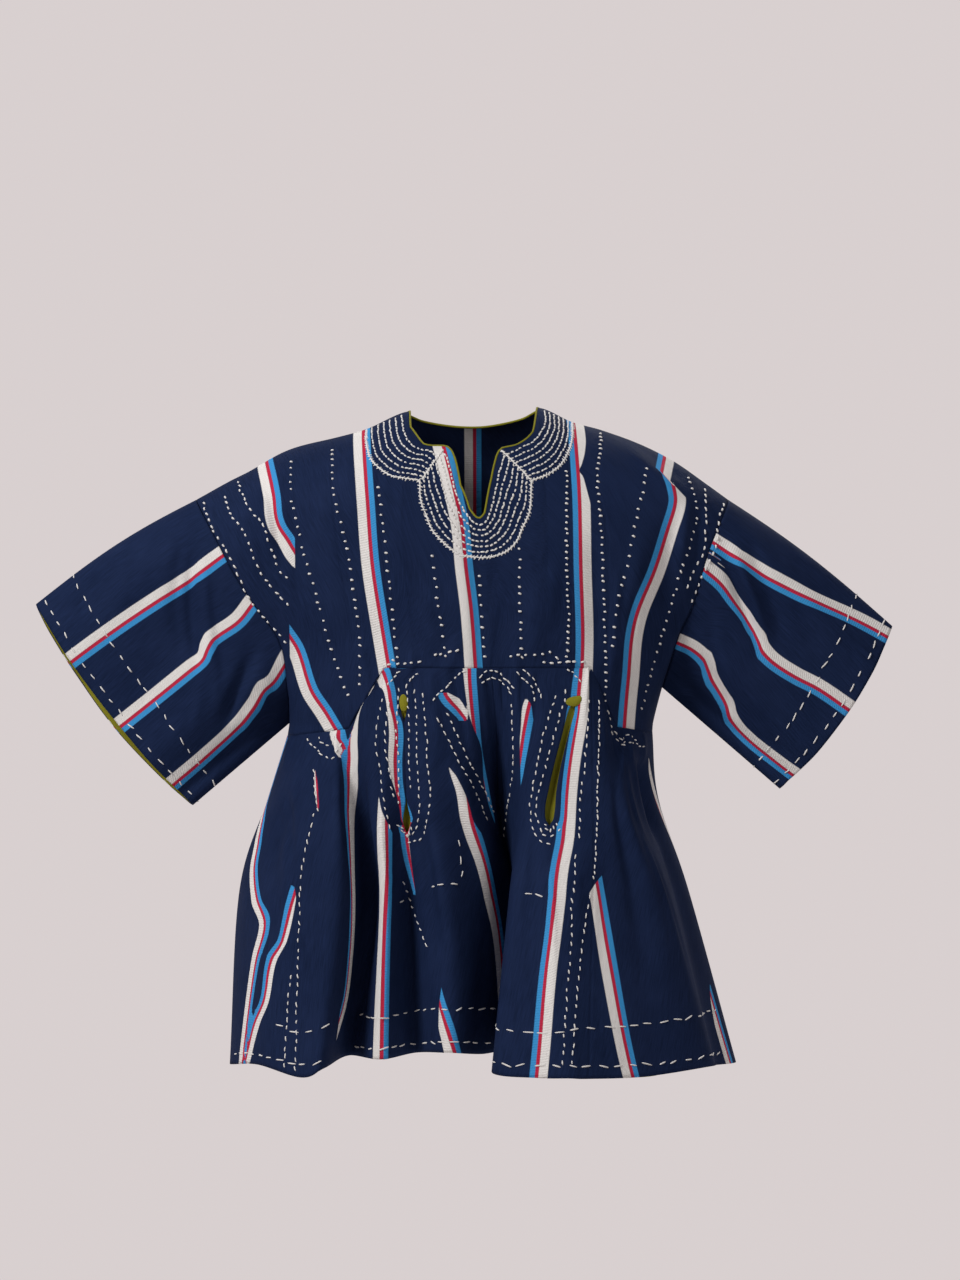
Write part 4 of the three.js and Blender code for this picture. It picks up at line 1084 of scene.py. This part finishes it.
def lining_piece(name, grid, node, flat, flip=False, closed=False):
    """Olive cloth as a thin closed wall on its grid of points; flat, the size it was cut
    to and its area, is passed on but not used."""
    faces = grid_faces(*grid.shape[:2], closed)
    faces = faces[:, ::-1] if flip else faces
    piece = new_object(name, grid.reshape(-1, 3), faces.tolist(), "olive_cloth")
    thicken(piece, bpy.context.scene.smock_sizes.facing)
    return finish_piece(piece, node, "olive_cloth", *flat)


def edge_path(side, columns):
    """Points of the yoke's upper edge at these columns, and the cloth's normals there."""
    end, _, low, part = yoke_columns(side, columns)
    x = yoke_place(side, low, part, end[:, None])[:, 0]
    surface = yoke_surface(side)
    return surface(x, end), surface.normals(x, end)


def soften(values, times):
    """Values round a ring, each averaged with its two neighbours this many times."""
    for _ in range(times):
        values = (np.roll(values, 1, 0) + values * 2 + np.roll(values, -1, 0)) / 4
    return values


def ring_faces(columns, rows):
    """Quads of a closed tube of closed sections."""
    i = np.arange(columns)[:, None]
    k = np.arange(rows)[None]
    a, b = i * rows, (i + 1) % columns * rows
    after = (k + 1) % rows
    return np.stack([a + k, a + after, b + after, b + k], -1).reshape(-1, 4)


# ---------------------------------------------------------------- seams
YOKE_SEAMS = [
    [(-350, -122), (-280, -130), (-128, -154), (-36, -162)],
    [(-280, -91), (-207, -97), (-130, -105), (-80, -109)],
    [(-280, 96), (-60, 96)], [(-350, 137), (-130, 135), (-85, 126), (-24, 135)]]


def yoke_seams(grid):
    """Distance to the nearest seam between strips, measured across."""
    x, z = grid[..., 0], grid[..., 2]
    return np.min([np.abs(x - curve_of(pairs)(z)) for pairs in YOKE_SEAMS], axis=0)


SKIRT_STEPS = 12        # columns from one fold line to the next
SKIRT_ROWS = 113
SLIT_TOP = 8            # the row in which both slits begin
SLIT_ROWS = np.linspace(0, 5, 41)
SLIT_WIDTHS = {     # half widths down the slit, which is five long
    "right": through([0, 0.2, 0.5, 0.75, 3.3, 3.8, 4.3, 4.7, 5],
                     [0, 3.2, 2.6, 0.1, 0.1, 2.2, 4.2, 2.5, 0]),
    "left": through([0, 0.4, 1.2, 3, 3.7, 4.2, 4.5, 5], [0, 3.6, 3.4, 4.2, 5.2, 4, 0.1, 0])}
# Skirt cloths: name, first and last fold line, flat size, flat area, and the slit as its
# column, first row and half widths.
SKIRT_PANELS = [
    ("front_right", 0, 9, (0.47, 0.46), 0.173,
     (6 * SKIRT_STEPS, SLIT_TOP, SLIT_WIDTHS["right"](SLIT_ROWS))),
    ("front_left", 9, 17, (0.42, 0.46), 0.153,
     (3 * SKIRT_STEPS, SLIT_TOP, SLIT_WIDTHS["left"](SLIT_ROWS))),
    ("back", 17, 30, (0.75, 0.44), 0.249, None)]
HEM_BAND = (2.872, 2.982)       # levels between which the hem's facing lies
HEM_PEEKS = (5.15, 14.05)       # where it shows below the hem
PEEK_DROP, PEEK_WIDE = 0.042, 0.16
FACED = 0.45            # length of a skirt cloth that gives its facing's width from its area
POCKET_LINES = {"right": 6, "left": 12}
POCKET_LEVELS = (3 / 14, 27 / 14)
# Lips of olive cloth at the upper ends of the pockets: place, level, and half sizes.
POCKET_LIPS = {"right": (6, 0.245, 0.2, 0.06), "left": (12.05, 0.235, 0.32, 0.036)}
SKIRT_SEAMS = (2, 5, 9, 13, 19.7, 23.4, 27.5)


def panel_stripes(first, last):
    """The skirt's stripes that start between these fold lines."""
    return [row for row in SKIRT_STRIPES if first < row[1][0][1] < last]


def skirt_seams(grid, u):
    """Distance to the nearest seam, measured along the cloth across."""
    across = run_length(grid, 0)
    inside = [k for k in SKIRT_SEAMS if u[0] < k < u[-1]]
    at = [across[np.searchsorted(u, k)] for k in inside]
    return np.min([np.abs(across - row[None]) for row in at], axis=0)


# ---------------------------------------------------------------- where the stitches run
# Lobes of the neck embroidery: side, outer edge and inner edge, with stitched rows between.
LOBE_ROWS = 7
LOBES = [
    ("front", [(-124, -22), (-123, -36), (-118, -55), (-108, -67), (-94, -76), (-77, -79),
               (-64, -81)],
     [(-79, -4), (-77, -16), (-74, -28), (-68, -37), (-60, -42), (-50, -44), (-42, -54)]),
    ("front", [(101, -14), (99, -36), (93, -53), (84, -66), (71, -75), (55, -81)],
     [(65, 1), (66, -12), (61, -24), (52, -34), (38, -41), (24, -49)]),
    ("front", [(-64, -81), (-63, -102), (-57, -119), (-50, -135), (-36, -150), (-22, -160),
               (-6, -163), (11, -163), (28, -157), (39, -146), (46, -130), (53, -113),
               (55, -81)],
     [(-35, -47), (-30, -51), (-26, -69), (-22, -86), (-17, -102), (-11, -113), (-3, -122),
      (4, -121), (8, -108), (11, -91), (14, -73), (19, -53), (22, -48)]),
    ("back", [(-124, -24), (-112, -44), (-84, -64), (-46, -74), (-8, -77), (30, -74),
              (66, -62), (90, -42), (101, -16)],
     [(-79, -3), (-68, -12), (-48, -17), (-28, -19), (-8, -20), (14, -19), (34, -17),
      (54, -11), (65, 0)])]
LOBE_JOINS = [[(-39, -47), (-50, -62), (-62, -80)], [(23, -48), (37, -62), (54, -80)]]

# Rows of hand stitches: surface, step, length, slant against the row, and the path. Yoke
# paths are places across and up; sleeve paths run from the armhole (0) to the cuff (1) and
# in turns round it; skirt paths are in fold lines and in levels down from the waist.
ACROSS = 1.25       # slant of a stitch that lies over a strip seam
YOKE_THREAD = 1.45  # the yoke's thread is this much thicker
STITCH_ROWS = {
    "yoke": [
        *[("front", step, 3.5, ACROSS, points) for step, points in [
            (10.5, [(-160, -42), (-155, -102), (-142, -150), (-135, -198), (-128, -251),
                    (-128, -304)]),
            (10.5, [(-204, -56), (-203, -90), (-195, -128), (-186, -166), (-173, -208),
                    (-162, -251), (-150, -288), (-139, -315)]),
            (10, [(-109, -84), (-103, -134), (-96, -198), (-90, -251), (-87, -274)]),
            (11, [(-51, -158), (-46, -208), (-39, -251), (-36, -274)]),
            (11, [(-1, -178), (2, -230), (6, -274)]),
            (9.5, [(42, -150), (42, -208), (44, -274)]),
            (6.5, [(93, -68), (92, -166), (94, -230), (92, -278)]),
            (8, [(132, -26), (126, -80), (130, -144), (132, -208), (134, -304), (128, -336)]),
            (11, [(180, -62), (175, -90), (167, -122), (158, -166), (147, -208), (141, -262)]),
            (9, [(226, -72), (234, -110), (230, -132), (224, -154), (213, -186), (207, -208),
                 (194, -251), (182, -294), (173, -329)])]],
        *[("front", 9, 4.4, 0.2, points) for points in [
            [(244, -86), (244, -122), (242, -152), (231, -174), (222, -197)],
            [(266, -102), (258, -123), (255, -148), (243, -176), (227, -212)],
            [(-302, -100), (-289, -132), (-281, -143), (-268, -164), (-248, -208),
             (-222, -238), (-207, -256)],
            [(-278, -94), (-268, -116), (-255, -132), (-247, -149), (-234, -181),
             (-213, -206), (-204, -216)],
            [(-264, -78), (-248, -111), (-234, -124), (-225, -149), (-214, -178),
             (-204, -186)]]],
        *[("front", 8, 4.2, 0.1, points) for points in [
            [(-100, -278), (-60, -274)], [(-52, -268), (-20, -262)], [(28, -268), (70, -266)],
            [(64, -275), (112, -274)], [(72, -262), (84, -272)], [(-96, -270), (-88, -276)]]],
        *[("back", 10, 3.5, ACROSS, points) for points in [
            [(-162, -36), (-150, -130), (-134, -250), (-126, -340)],
            [(-96, -62), (-94, -160), (-88, -340)], [(-46, -82), (-44, -180), (-42, -345)],
            [(44, -78), (44, -180), (42, -345)], [(90, -52), (92, -160), (88, -345)],
            [(140, -30), (142, -160), (132, -345)], [(182, -50), (174, -200), (160, -345)],
            [(-208, -54), (-190, -200), (-172, -345)]]],
        *[("back", 9, 4.4, 0.2, points) for points in [
            [(-300, -102), (-262, -176), (-214, -250), (-206, -300)],
            [(-276, -92), (-240, -170), (-206, -240)],
            [(262, -104), (238, -176), (212, -240), (196, -300)]]],
        ("back", 8.5, 5.5, 0.0, [(-198, -349), (-66, -349), (66, -347), (178, -346)])],
    "sleeves": [
        (name, step, length, 0.0, [(place, turn) for turn in np.linspace(0, 1, 25)])
        for name, step, length, place in [("right", 17, 8, 0.95), ("right", 16, 8, 0.77),
                                          ("left", 17, 9, 0.95), ("left", 16, 9, 0.78)]],
    "skirt": [
        *[("skirt", 18, 11, 0.0, points) for points in [
            [(1.4, 2.74), (2.1, 2.76), (3.1, 2.75)],
            [(4.1, 2.75), (5.4, 2.75), (6.4, 2.73), (7.6, 2.72), (8.7, 2.73)],
            [(9.6, 2.75), (11.1, 2.75), (12.6, 2.73), (14.0, 2.72), (15.3, 2.71), (16.6, 2.71)],
            [(0.3, 2.94), (1.2, 2.94), (2.0, 2.93), (2.9, 2.95)],
            [(4.0, 2.94), (5.4, 2.93), (6.2, 2.94), (6.9, 2.93), (8.6, 2.93)],
            [(9.6, 2.94), (11.7, 2.93), (13.5, 2.93), (14.7, 2.94), (16.6, 2.93)],
            [(17.4, 2.69), (20, 2.66), (23, 2.68), (26, 2.66), (29.6, 2.68)],
            [(17.4, 2.86), (20, 2.84), (23, 2.86), (26, 2.84), (29.6, 2.87)]]],
        *[("skirt", 9.5, 5.0, 0.15, points) for points in [
            [(2.02, 1.07), (1.96, 1.55), (1.97, 2.0), (2.0, 2.22), (1.92, 2.59), (1.86, 2.98)],
            [(1.78, 2.44), (1.68, 2.66), (1.6, 2.98)], [(1.84, 0.5), (2.1, 1.1)],
            [(5.04, 0.2), (4.86, 0.45), (4.96, 0.68), (5.24, 0.95), (5.42, 1.24)],
            [(5.38, 0.25), (5.2, 0.48), (5.34, 0.69), (5.6, 0.95)],
            [(5.76, 1.84), (6.12, 2.05), (6.36, 2.2), (6.56, 2.35)],
            [(4.32, 1.45), (4.36, 1.71), (4.44, 1.9)],
            [(9.96, 0.22), (9.7, 0.65), (9.42, 0.96), (9.1, 1.4)],
            [(12.82, 0.22), (12.78, 0.58), (12.68, 0.95), (12.62, 1.35)],
            [(12.56, 1.48), (12.38, 1.98), (12.28, 2.31), (12.04, 2.58), (11.74, 2.94)],
            [(12.9, 1.91), (12.72, 2.24), (12.58, 2.47), (12.4, 2.69), (12.14, 2.94)],
            [(19.7, 0.1), (19.7, 1.5), (19.7, 2.9)], [(23.4, 0.1), (23.4, 1.5), (23.4, 2.9)],
            [(27.5, 0.1), (27.5, 1.5), (27.5, 2.9)]]],
        ("skirt", 6.5, 5.0, 0.1, [(13.26, 0.14), (13.24, 0.46), (13.12, 0.86), (13.06, 1.36),
                                  (13.0, 1.82)]),
        *[("skirt", 17, 8.5, 0.0, points) for points in [
            [(6.62, 1.9), (7.2, 1.84), (7.5, 1.8), (7.6, 1.3)],
            [(10.4, 1.9), (10.66, 1.93), (11.1, 1.95)], [(5.4, 2.02), (6.0, 2.02)]]]],
    "gathers": [
        *[("skirt", 6.4, 4.6, 0.0, points) for points in [
            [(8.58, 0.07), (8.94, 0.03), (9.7, 0.07), (10.1, 0.15)],
            [(8.6, 0.11), (8.94, 0.07), (9.6, 0.11), (10.0, 0.19)],
            [(10.4, 0.02), (10.68, 0.06), (10.94, 0.12), (11.1, 0.22)],
            [(10.2, 0.04), (10.5, 0.08), (10.76, 0.14), (10.9, 0.24)],
            [(11.58, 0.03), (11.84, 0.06), (12.1, 0.11)],
            [(7.2, 0.23), (7.5, 0.15), (7.86, 0.07), (8.2, 0.03)],
            [(6.1, 0.14), (6.4, 0.07), (6.8, 0.05)], [(5.2, 0.16), (5.6, 0.07), (5.9, 0.04)]]],
        *[("skirt", 8.5, 5.0, 0.1, points) for points in [
            [(7.32, 0.33), (7.62, 0.52), (7.84, 0.68), (8.14, 0.87), (8.38, 1.17)],
            [(7.56, 0.3), (7.88, 0.52), (8.1, 0.68), (8.4, 0.88), (8.64, 1.1)],
            [(1.3, 0.06), (1.8, 0.2), (2.6, 0.38), (3.1, 0.3), (3.6, 0.12)],
            [(2.0, 0.05), (2.5, 0.2), (3.0, 0.16), (3.3, 0.05)],
            [(13.6, 0.05), (14.3, 0.12), (15.1, 0.1), (15.8, 0.16)],
            [(13.8, 0.14), (14.6, 0.2), (15.4, 0.18), (16.2, 0.24)]]]],
    "pockets": [
        *[("skirt", 8.5, 4.4, 0.1, points) for points in [
            [(6.2, 0.14), (6.24, 0.38), (6.18, 0.65), (6.22, 0.87)],
            [(6.5, 0.14), (6.62, 0.38), (6.62, 0.64), (6.66, 0.95), (6.36, 1.25), (5.95, 1.3),
             (5.6, 1.16)],
            [(6.86, 0.16), (6.96, 0.36), (7.0, 0.64), (7.04, 0.95), (6.6, 1.31), (5.92, 1.4)],
            [(5.76, 0.14), (5.66, 0.4), (5.72, 0.7), (5.7, 1.0)],
            [(11.7, 0.14), (11.6, 0.5), (11.4, 0.79), (11.1, 1.02), (11.5, 1.24), (12.0, 1.3),
             (12.3, 1.2)],
            [(11.45, 0.18), (11.22, 0.5), (10.95, 0.79), (10.7, 1.03), (11.0, 1.3),
             (12.0, 1.39)]]],
        ("skirt", 5.5, 4.0, 0.9, [(11.78, 1.14), (12.0, 1.24), (12.25, 1.14)]),
        ("skirt", 5.5, 4.0, 0.9, [(5.75, 1.2), (6.0, 1.31), (6.25, 1.2)])],
}


# ---------------------------------------------------------------- sizes and colours
def length(name, description, default, low, high):
    return FloatProperty(name=name, description=description, default=default,
                         min=low, max=high, unit="LENGTH", precision=5)


def colour(name, description, default):
    return FloatVectorProperty(name=name, description=description, default=default,
                               size=3, min=0, max=1, subtype="COLOR")


class SmockSizes(PropertyGroup):
    """Sizes and colours that the smock is made with."""

    wall: length("Cloth", "Thickness of the smock cloth", 0.0013, 0.0005, 0.003)
    facing: length("Facing", "Thickness of the facing and pocket cloth", 0.0008, 0.0004, 0.002)
    binding: length("Binding", "Width of the binding on the neck edge", 0.0022, 0.001, 0.008)
    thread_pitch: length("Weave", "Distance over two threads of the weave", 0.0016, 0.0005, 0.004)
    stitch_scale: FloatProperty(name="Stitch Length", default=1.0, min=0.5, max=1.5,
                                description="Length of the hand stitches against their usual")
    thread_wide: length("Thread", "Thickness of the sewing thread", 0.0016, 0.0008, 0.004)
    navy_dark: colour("Navy, deep", "Dark threads of the ground", (0.0045, 0.0100, 0.032))
    navy_light: colour("Navy, light", "Light threads of the ground", (0.0110, 0.0210, 0.064))
    # painted sheen: colour of the lighter patches mixed into the navy ground, not wear
    painted_sheen_colour: colour("Navy, worn", "Worn patches of the ground", (0.018, 0.031, 0.086))
    white: colour("White stripe", "White threads of the stripe", (0.83, 0.80, 0.77))
    white_shade: colour("White, dull", "Shaded threads of the white", (0.62, 0.59, 0.57))
    crimson: colour("Crimson stripe", "Red threads of the stripe", (0.47, 0.022, 0.055))
    sky: colour("Blue stripe", "Blue threads of the stripe", (0.045, 0.27, 0.58))
    thread: colour("Thread", "Cotton of the hand stitches", (0.86, 0.84, 0.81))
    olive: colour("Olive", "Facings, pockets and binding", (0.26, 0.24, 0.014))
    olive_dark: colour("Olive, deep", "Dark threads of the olive cloth", (0.16, 0.15, 0.010))


# ---------------------------------------------------------------- pieces
YOKE_SPACING, YOKE_ROWS = 3.6, 112
SLEEVE_COLUMNS, SLEEVE_ROWS = 208, 68
SLEEVE_START = 0.004            # share of its length at which a sleeve leaves the yoke
CUFF_BAND = (1 - 1.4 / 12, 0.997)   # shares between which the cuff's facing lies
NO_SEAM = 99.0                  # a distance from any seam at which none shows
BINDING_SIDES, BINDING_HALF = 10, 1.3   # of its section, and half its thickness


class SMOCK_OT_yoke(Operator):
    """Front and back of the yoke, with the neck left open"""

    bl_idname = "smock.yoke"
    bl_label = "Yoke"

    def execute(self, context):
        for side, flat, area in (("front", (0.64, 0.38), 0.162), ("back", (0.64, 0.38), 0.19)):
            grid = yoke_grid(side, YOKE_SPACING, YOKE_ROWS)
            piece = cloth_piece(f"yoke_{side}_cloth", grid, yoke_stripes(side, grid),
                                yoke_seams(grid), flip=side == "back")
            finish_piece(piece, f"yoke_{side}", "navy_cloth", flat, area)
        return {"FINISHED"}


class SMOCK_OT_sleeves(Operator):
    """Short wide sleeves with a facing inside each cuff"""

    bl_idname = "smock.sleeves"
    bl_label = "Sleeves"

    def execute(self, context):
        flats = {"right": ((0.62, 0.24), 0.113), "left": ((0.56, 0.22), 0.097)}
        facings = {"right": ((0.60, 0.025), 0.0125), "left": ((0.50, 0.025), 0.0105)}
        turn = np.arange(SLEEVE_COLUMNS) / SLEEVE_COLUMNS
        s = mix(SLEEVE_START, 1, np.linspace(0, 1, SLEEVE_ROWS))
        for name, sleeve in SLEEVES.items():
            grid = sleeve_point(sleeve, s[None], turn[:, None])
            stripe = grid_stripes(SLEEVE_STRIPES[name], grid, s, turn)
            piece = cloth_piece(f"sleeve_{name}_cloth", grid, stripe,
                                np.full(grid.shape[:2], NO_SEAM), flip=name == "left",
                                closed=True)
            finish_piece(piece, f"sleeve_{name}", "navy_cloth", *flats[name])
            band = lifted(sleeve_surface(name), np.linspace(*CUFF_BAND, 9)[None], turn[:, None],
                          INSIDE)
            lining_piece(f"cuff_{name}", band, f"cuff_facing_{name}", facings[name],
                         flip=name == "left", closed=True)
        return {"FINISHED"}


class SMOCK_OT_skirt(Operator):
    """Gathered and pleated skirt in three cloths, slit at the pockets"""

    bl_idname = "smock.skirt"
    bl_label = "Skirt"

    def execute(self, context):
        for name, first, last, flat, area, slit in SKIRT_PANELS:
            u = np.linspace(first, last, (last - first) * SKIRT_STEPS + 1)
            v = np.linspace(0, 3, SKIRT_ROWS)
            grid = skirt_point(u[:, None], v[None])
            stripe = grid_stripes(panel_stripes(first, last), grid, v, u)
            piece = cloth_piece(f"skirt_{name}_cloth", grid, stripe, skirt_seams(grid, u),
                                slit=slit)
            finish_piece(piece, f"skirt_{name}", "navy_cloth", flat, area)
            short = SKIRT_STEPS // 3
            inner = u[short:-short, None]
            peek = sum(PEEK_DROP * np.exp(-((inner - at) / PEEK_WIDE) ** 2) for at in HEM_PEEKS)
            levels = mix(HEM_BAND[0], HEM_BAND[1] + peek, np.linspace(0, 1, 7)[None])
            band = lifted(SKIRT_SURFACE, inner, levels, INSIDE)
            wide = round(area / FACED, 2)
            lining_piece(f"hem_{name}", band, f"hem_facing_{name}", ((wide, 0.024), None))
        return {"FINISHED"}


class SMOCK_OT_pockets(Operator):
    """Pocket cloth behind the slits and the olive lip at their upper ends"""

    bl_idname = "smock.pockets"
    bl_label = "Pockets"

    def execute(self, context):
        for name, line in POCKET_LINES.items():
            u = np.linspace(line - 1, line + 1, 37)[:, None]
            v = np.linspace(*POCKET_LEVELS, 61)[None]
            across, down = (u - line + 1) / 2, (v - v.min()) / (v.max() - v.min())
            sink = np.sin(np.pi * across) * np.sin(np.pi * down)
            crease = 0.8 * np.sin(9 * across + 5 * down) * sink
            grid = lifted(SKIRT_SURFACE, u, v, INSIDE - 0.3 - 5 * sink + crease)
            lining_piece(f"pocket_{name}", grid, f"pocket_lining_{name}", ((0.075, 0.2), 0.0145))
            place, level, wide, tall = POCKET_LIPS[name]
            a, b = np.meshgrid(np.linspace(-1, 1, 13), np.linspace(-1, 1, 13), indexing="ij")
            swell = 0.7 + 1.9 * (1 - a**2) * (1 - b**2)
            grid = lifted(SKIRT_SURFACE, place + wide * a * np.sqrt(1 - b**2 / 2),
                          level + tall * b * np.sqrt(1 - a**2 / 2), swell)
            lining_piece(f"pocket_lip_{name}", grid, None, ((0.014, 0.016), 0.00016))
        return {"FINISHED"}


class SMOCK_OT_binding(Operator):
    """Narrow olive binding round the neck and its notch"""

    bl_idname = "smock.binding"
    bl_label = "Neck Binding"

    def execute(self, context):
        wide = context.scene.smock_sizes.binding / MM
        front = edge_path("front", np.linspace(*NECK_SPAN["front"], 197))
        back = edge_path("back", np.linspace(*NECK_SPAN["back"][::-1], 99))
        path, normals = [np.concatenate([a, b[1:-1]]) for a, b in zip(front, back)]
        ahead = unit(np.roll(path, -1, 0) - np.roll(path, 1, 0))
        normals = unit(soften(normals, 3) - ahead * (normals * ahead).sum(1, keepdims=True))
        inwards = unit(np.cross(normals, ahead))
        turn = 2 * np.pi * np.arange(BINDING_SIDES) / BINDING_SIDES
        centre = path + inwards * (wide / 2)
        grid = (centre[:, None] + inwards[:, None] * (wide / 2 * np.cos(turn))[None, :, None]
                + normals[:, None] * (BINDING_HALF * np.sin(turn))[None, :, None])
        faces = ring_faces(len(path), BINDING_SIDES).tolist()
        piece = new_object("neck_edge_binding", grid.reshape(-1, 3), faces, "olive_cloth")
        finish_piece(piece, "neck_binding", "olive_cloth")
        return {"FINISHED"}


def couched_line(sewing, surface, points, wide):
    """A cord of close stitches with slanting ticks that hold it down."""
    path, normals = surface_path(surface, points)
    sewing.row(path, normals, 2.7, 3.9, wide * 0.55, slant=0.12, weave=0.1)
    sewing.row(path, normals, 4.0, 6.0, wide * 0.42, slant=0.9, weave=0.15)


class SMOCK_OT_embroidery(Operator):
    """Lobes of running stitch round the neck, edged with a couched cord"""

    bl_idname = "smock.embroidery"
    bl_label = "Neck Embroidery"

    def execute(self, context):
        sizes = context.scene.smock_sizes
        sewing = Sewing(NECK_SEED)
        wide = sizes.thread_wide / MM
        for side, outer, inner in LOBES:
            surface = yoke_surface(side)
            outer, inner = np.array(outer), np.array(inner)
            for k in range(1, LOBE_ROWS):
                path, normals = surface_path(surface, mix(outer, inner, k / LOBE_ROWS))
                sewing.row(path, normals, 5.0, 4.1, wide * 0.62)
            couched_line(sewing, surface, outer, wide)
        for line in LOBE_JOINS:
            couched_line(sewing, yoke_surface("front"), line, wide)
        sewing.piece("neck_embroidery")
        return {"FINISHED"}


class SMOCK_OT_stitching(Operator):
    """Rows of thick white hand stitches on yoke, sleeves, skirt and pockets"""

    bl_idname = "smock.stitching"
    bl_label = "Hand Stitching"

    def execute(self, context):
        sizes = context.scene.smock_sizes
        surfaces = {side: yoke_surface(side) for side in FACING}
        surfaces |= {name: sleeve_surface(name) for name in SLEEVES}
        surfaces["skirt"] = SKIRT_SURFACE
        for seed, (name, rows) in enumerate(STITCH_ROWS.items(), FIRST_SEED):
            sewing = Sewing(seed)
            wide = sizes.thread_wide / MM * (YOKE_THREAD if name == "yoke" else 1)
            for surface, step, length, slant, points in rows:
                path, normals = surface_path(surfaces[surface], points)
                sewing.row(path, normals, step, length * sizes.stitch_scale, wide / 2, slant, 0.5)
            sewing.piece(f"stitches_{name}")
        return {"FINISHED"}


class SMOCK_OT_stage(Operator):
    """Pale studio ground, soft lights and the camera"""

    bl_idname = "smock.stage"
    bl_label = "Stage"

    def execute(self, context):
        pale_world(context.scene)
        floor_disc()
        soft_lights()
        context.scene.camera = front_camera()
        context.scene.view_settings.view_transform = "Standard"
        return {"FINISHED"}


STEPS = (SMOCK_OT_yoke, SMOCK_OT_sleeves, SMOCK_OT_skirt, SMOCK_OT_pockets, SMOCK_OT_binding,
         SMOCK_OT_embroidery, SMOCK_OT_stitching, SMOCK_OT_stage)


class SMOCK_PT_panel(Panel):
    """Lists the smock's pieces with its sizes and colours"""

    bl_idname = "SMOCK_PT_panel"
    bl_label = "Fugu Smock"
    bl_space_type = "VIEW_3D"
    bl_region_type = "UI"
    bl_category = "Smock"

    def draw(self, context):
        for step in STEPS:
            self.layout.operator(step.bl_idname)
        for name in SmockSizes.__annotations__:
            self.layout.prop(context.scene.smock_sizes, name)


# ---------------------------------------------------------------- stage
def pale_world(scene):
    """Pale ground behind the smock that darkens towards the front, by the share of +Y in
    the direction, so that the lamps model the folds."""
    world = scene.world or bpy.data.worlds.new("world")
    scene.world = world
    world.use_nodes = True
    nodes, links = world.node_tree.nodes, world.node_tree.links
    way = nodes.new("ShaderNodeTexCoord").outputs["Generated"]
    parts = nodes.new("ShaderNodeSeparateXYZ")
    links.new(way, parts.inputs[0])
    share = nodes.new("ShaderNodeMapRange")
    links.new(parts.outputs["Y"], share.inputs["Value"])
    for key, value in {"From Min": -0.3, "From Max": 0.75, "To Min": 0.22, "To Max": 1.0}.items():
        share.inputs[key].default_value = value
    ground = nodes["Background"]
    ground.inputs["Color"].default_value = (0.69, 0.63, 0.63, 1)
    links.new(share.outputs["Result"], ground.inputs["Strength"])


FLOOR_RADIUS, FLOOR_HEIGHT, FLOOR_POINTS = 2.1, -1.5, 96


def floor_disc():
    """A round floor, far below the hem."""
    turn = 2 * np.pi * np.arange(FLOOR_POINTS) / FLOOR_POINTS
    rim = np.stack([FLOOR_RADIUS * np.cos(turn), FLOOR_RADIUS * np.sin(turn),
                    np.full(FLOOR_POINTS, FLOOR_HEIGHT)], -1)
    mesh = bpy.data.meshes.new("floor")
    mesh.from_pydata(rim, [], [list(range(FLOOR_POINTS))])
    paint = Paint("floor")
    paint.plug(paint.shader, {"Base Color": (0.72, 0.68, 0.67, 1), "Roughness": 0.95})
    mesh.materials.append(paint.material)
    return placed("floor", mesh)


CHEST_POINT = (0, 0, -0.35)
# Lights: name, place, watts and width; all face the chest.
LIGHTS = [
    ("key", (-2.1, -2.0, 1.7), 104, 0.9),
    ("fill", (2.0, -2.4, 0.3), 17, 1.4),
    ("rim", (0.8, 1.8, 1.4), 30, 1.0),
]


def soft_lights():
    made = []
    for name, place, watts, wide in LIGHTS:
        light = bpy.data.lights.new(name, "AREA")
        light.energy = watts
        light.size = wide
        lamp = placed(name, light)
        lamp.location = place
        aim = Vector(CHEST_POINT) - lamp.location
        lamp.rotation_euler = aim.to_track_quat("-Z", "Y").to_euler()
        made.append(lamp)
    return made


CAMERA_PLACE, LENS = (0, -3.2, -0.251), 81.8


def front_camera():
    """Looks level at the middle of the smock's front."""
    camera = placed("camera", bpy.data.cameras.new("camera"))
    camera.location = CAMERA_PLACE
    camera.rotation_euler = (np.pi / 2, 0, 0)
    camera.data.sensor_width = 36
    camera.data.lens = LENS
    return camera


# ---------------------------------------------------------------- run
CLASSES = (SmockSizes, *STEPS, SMOCK_PT_panel)


def register():
    for cls in CLASSES:
        bpy.utils.register_class(cls)
    bpy.types.Scene.smock_sizes = PointerProperty(type=SmockSizes)


def unregister():
    del bpy.types.Scene.smock_sizes
    for cls in reversed(CLASSES):
        bpy.utils.unregister_class(cls)


def main():
    register()
    for step in STEPS:
        group, name = step.bl_idname.split(".")
        result = getattr(getattr(bpy.ops, group), name)()
        if result != {"FINISHED"}:
            raise RuntimeError(f"{step.bl_label} stopped: {result}")


if __name__ == "__main__":
    main()
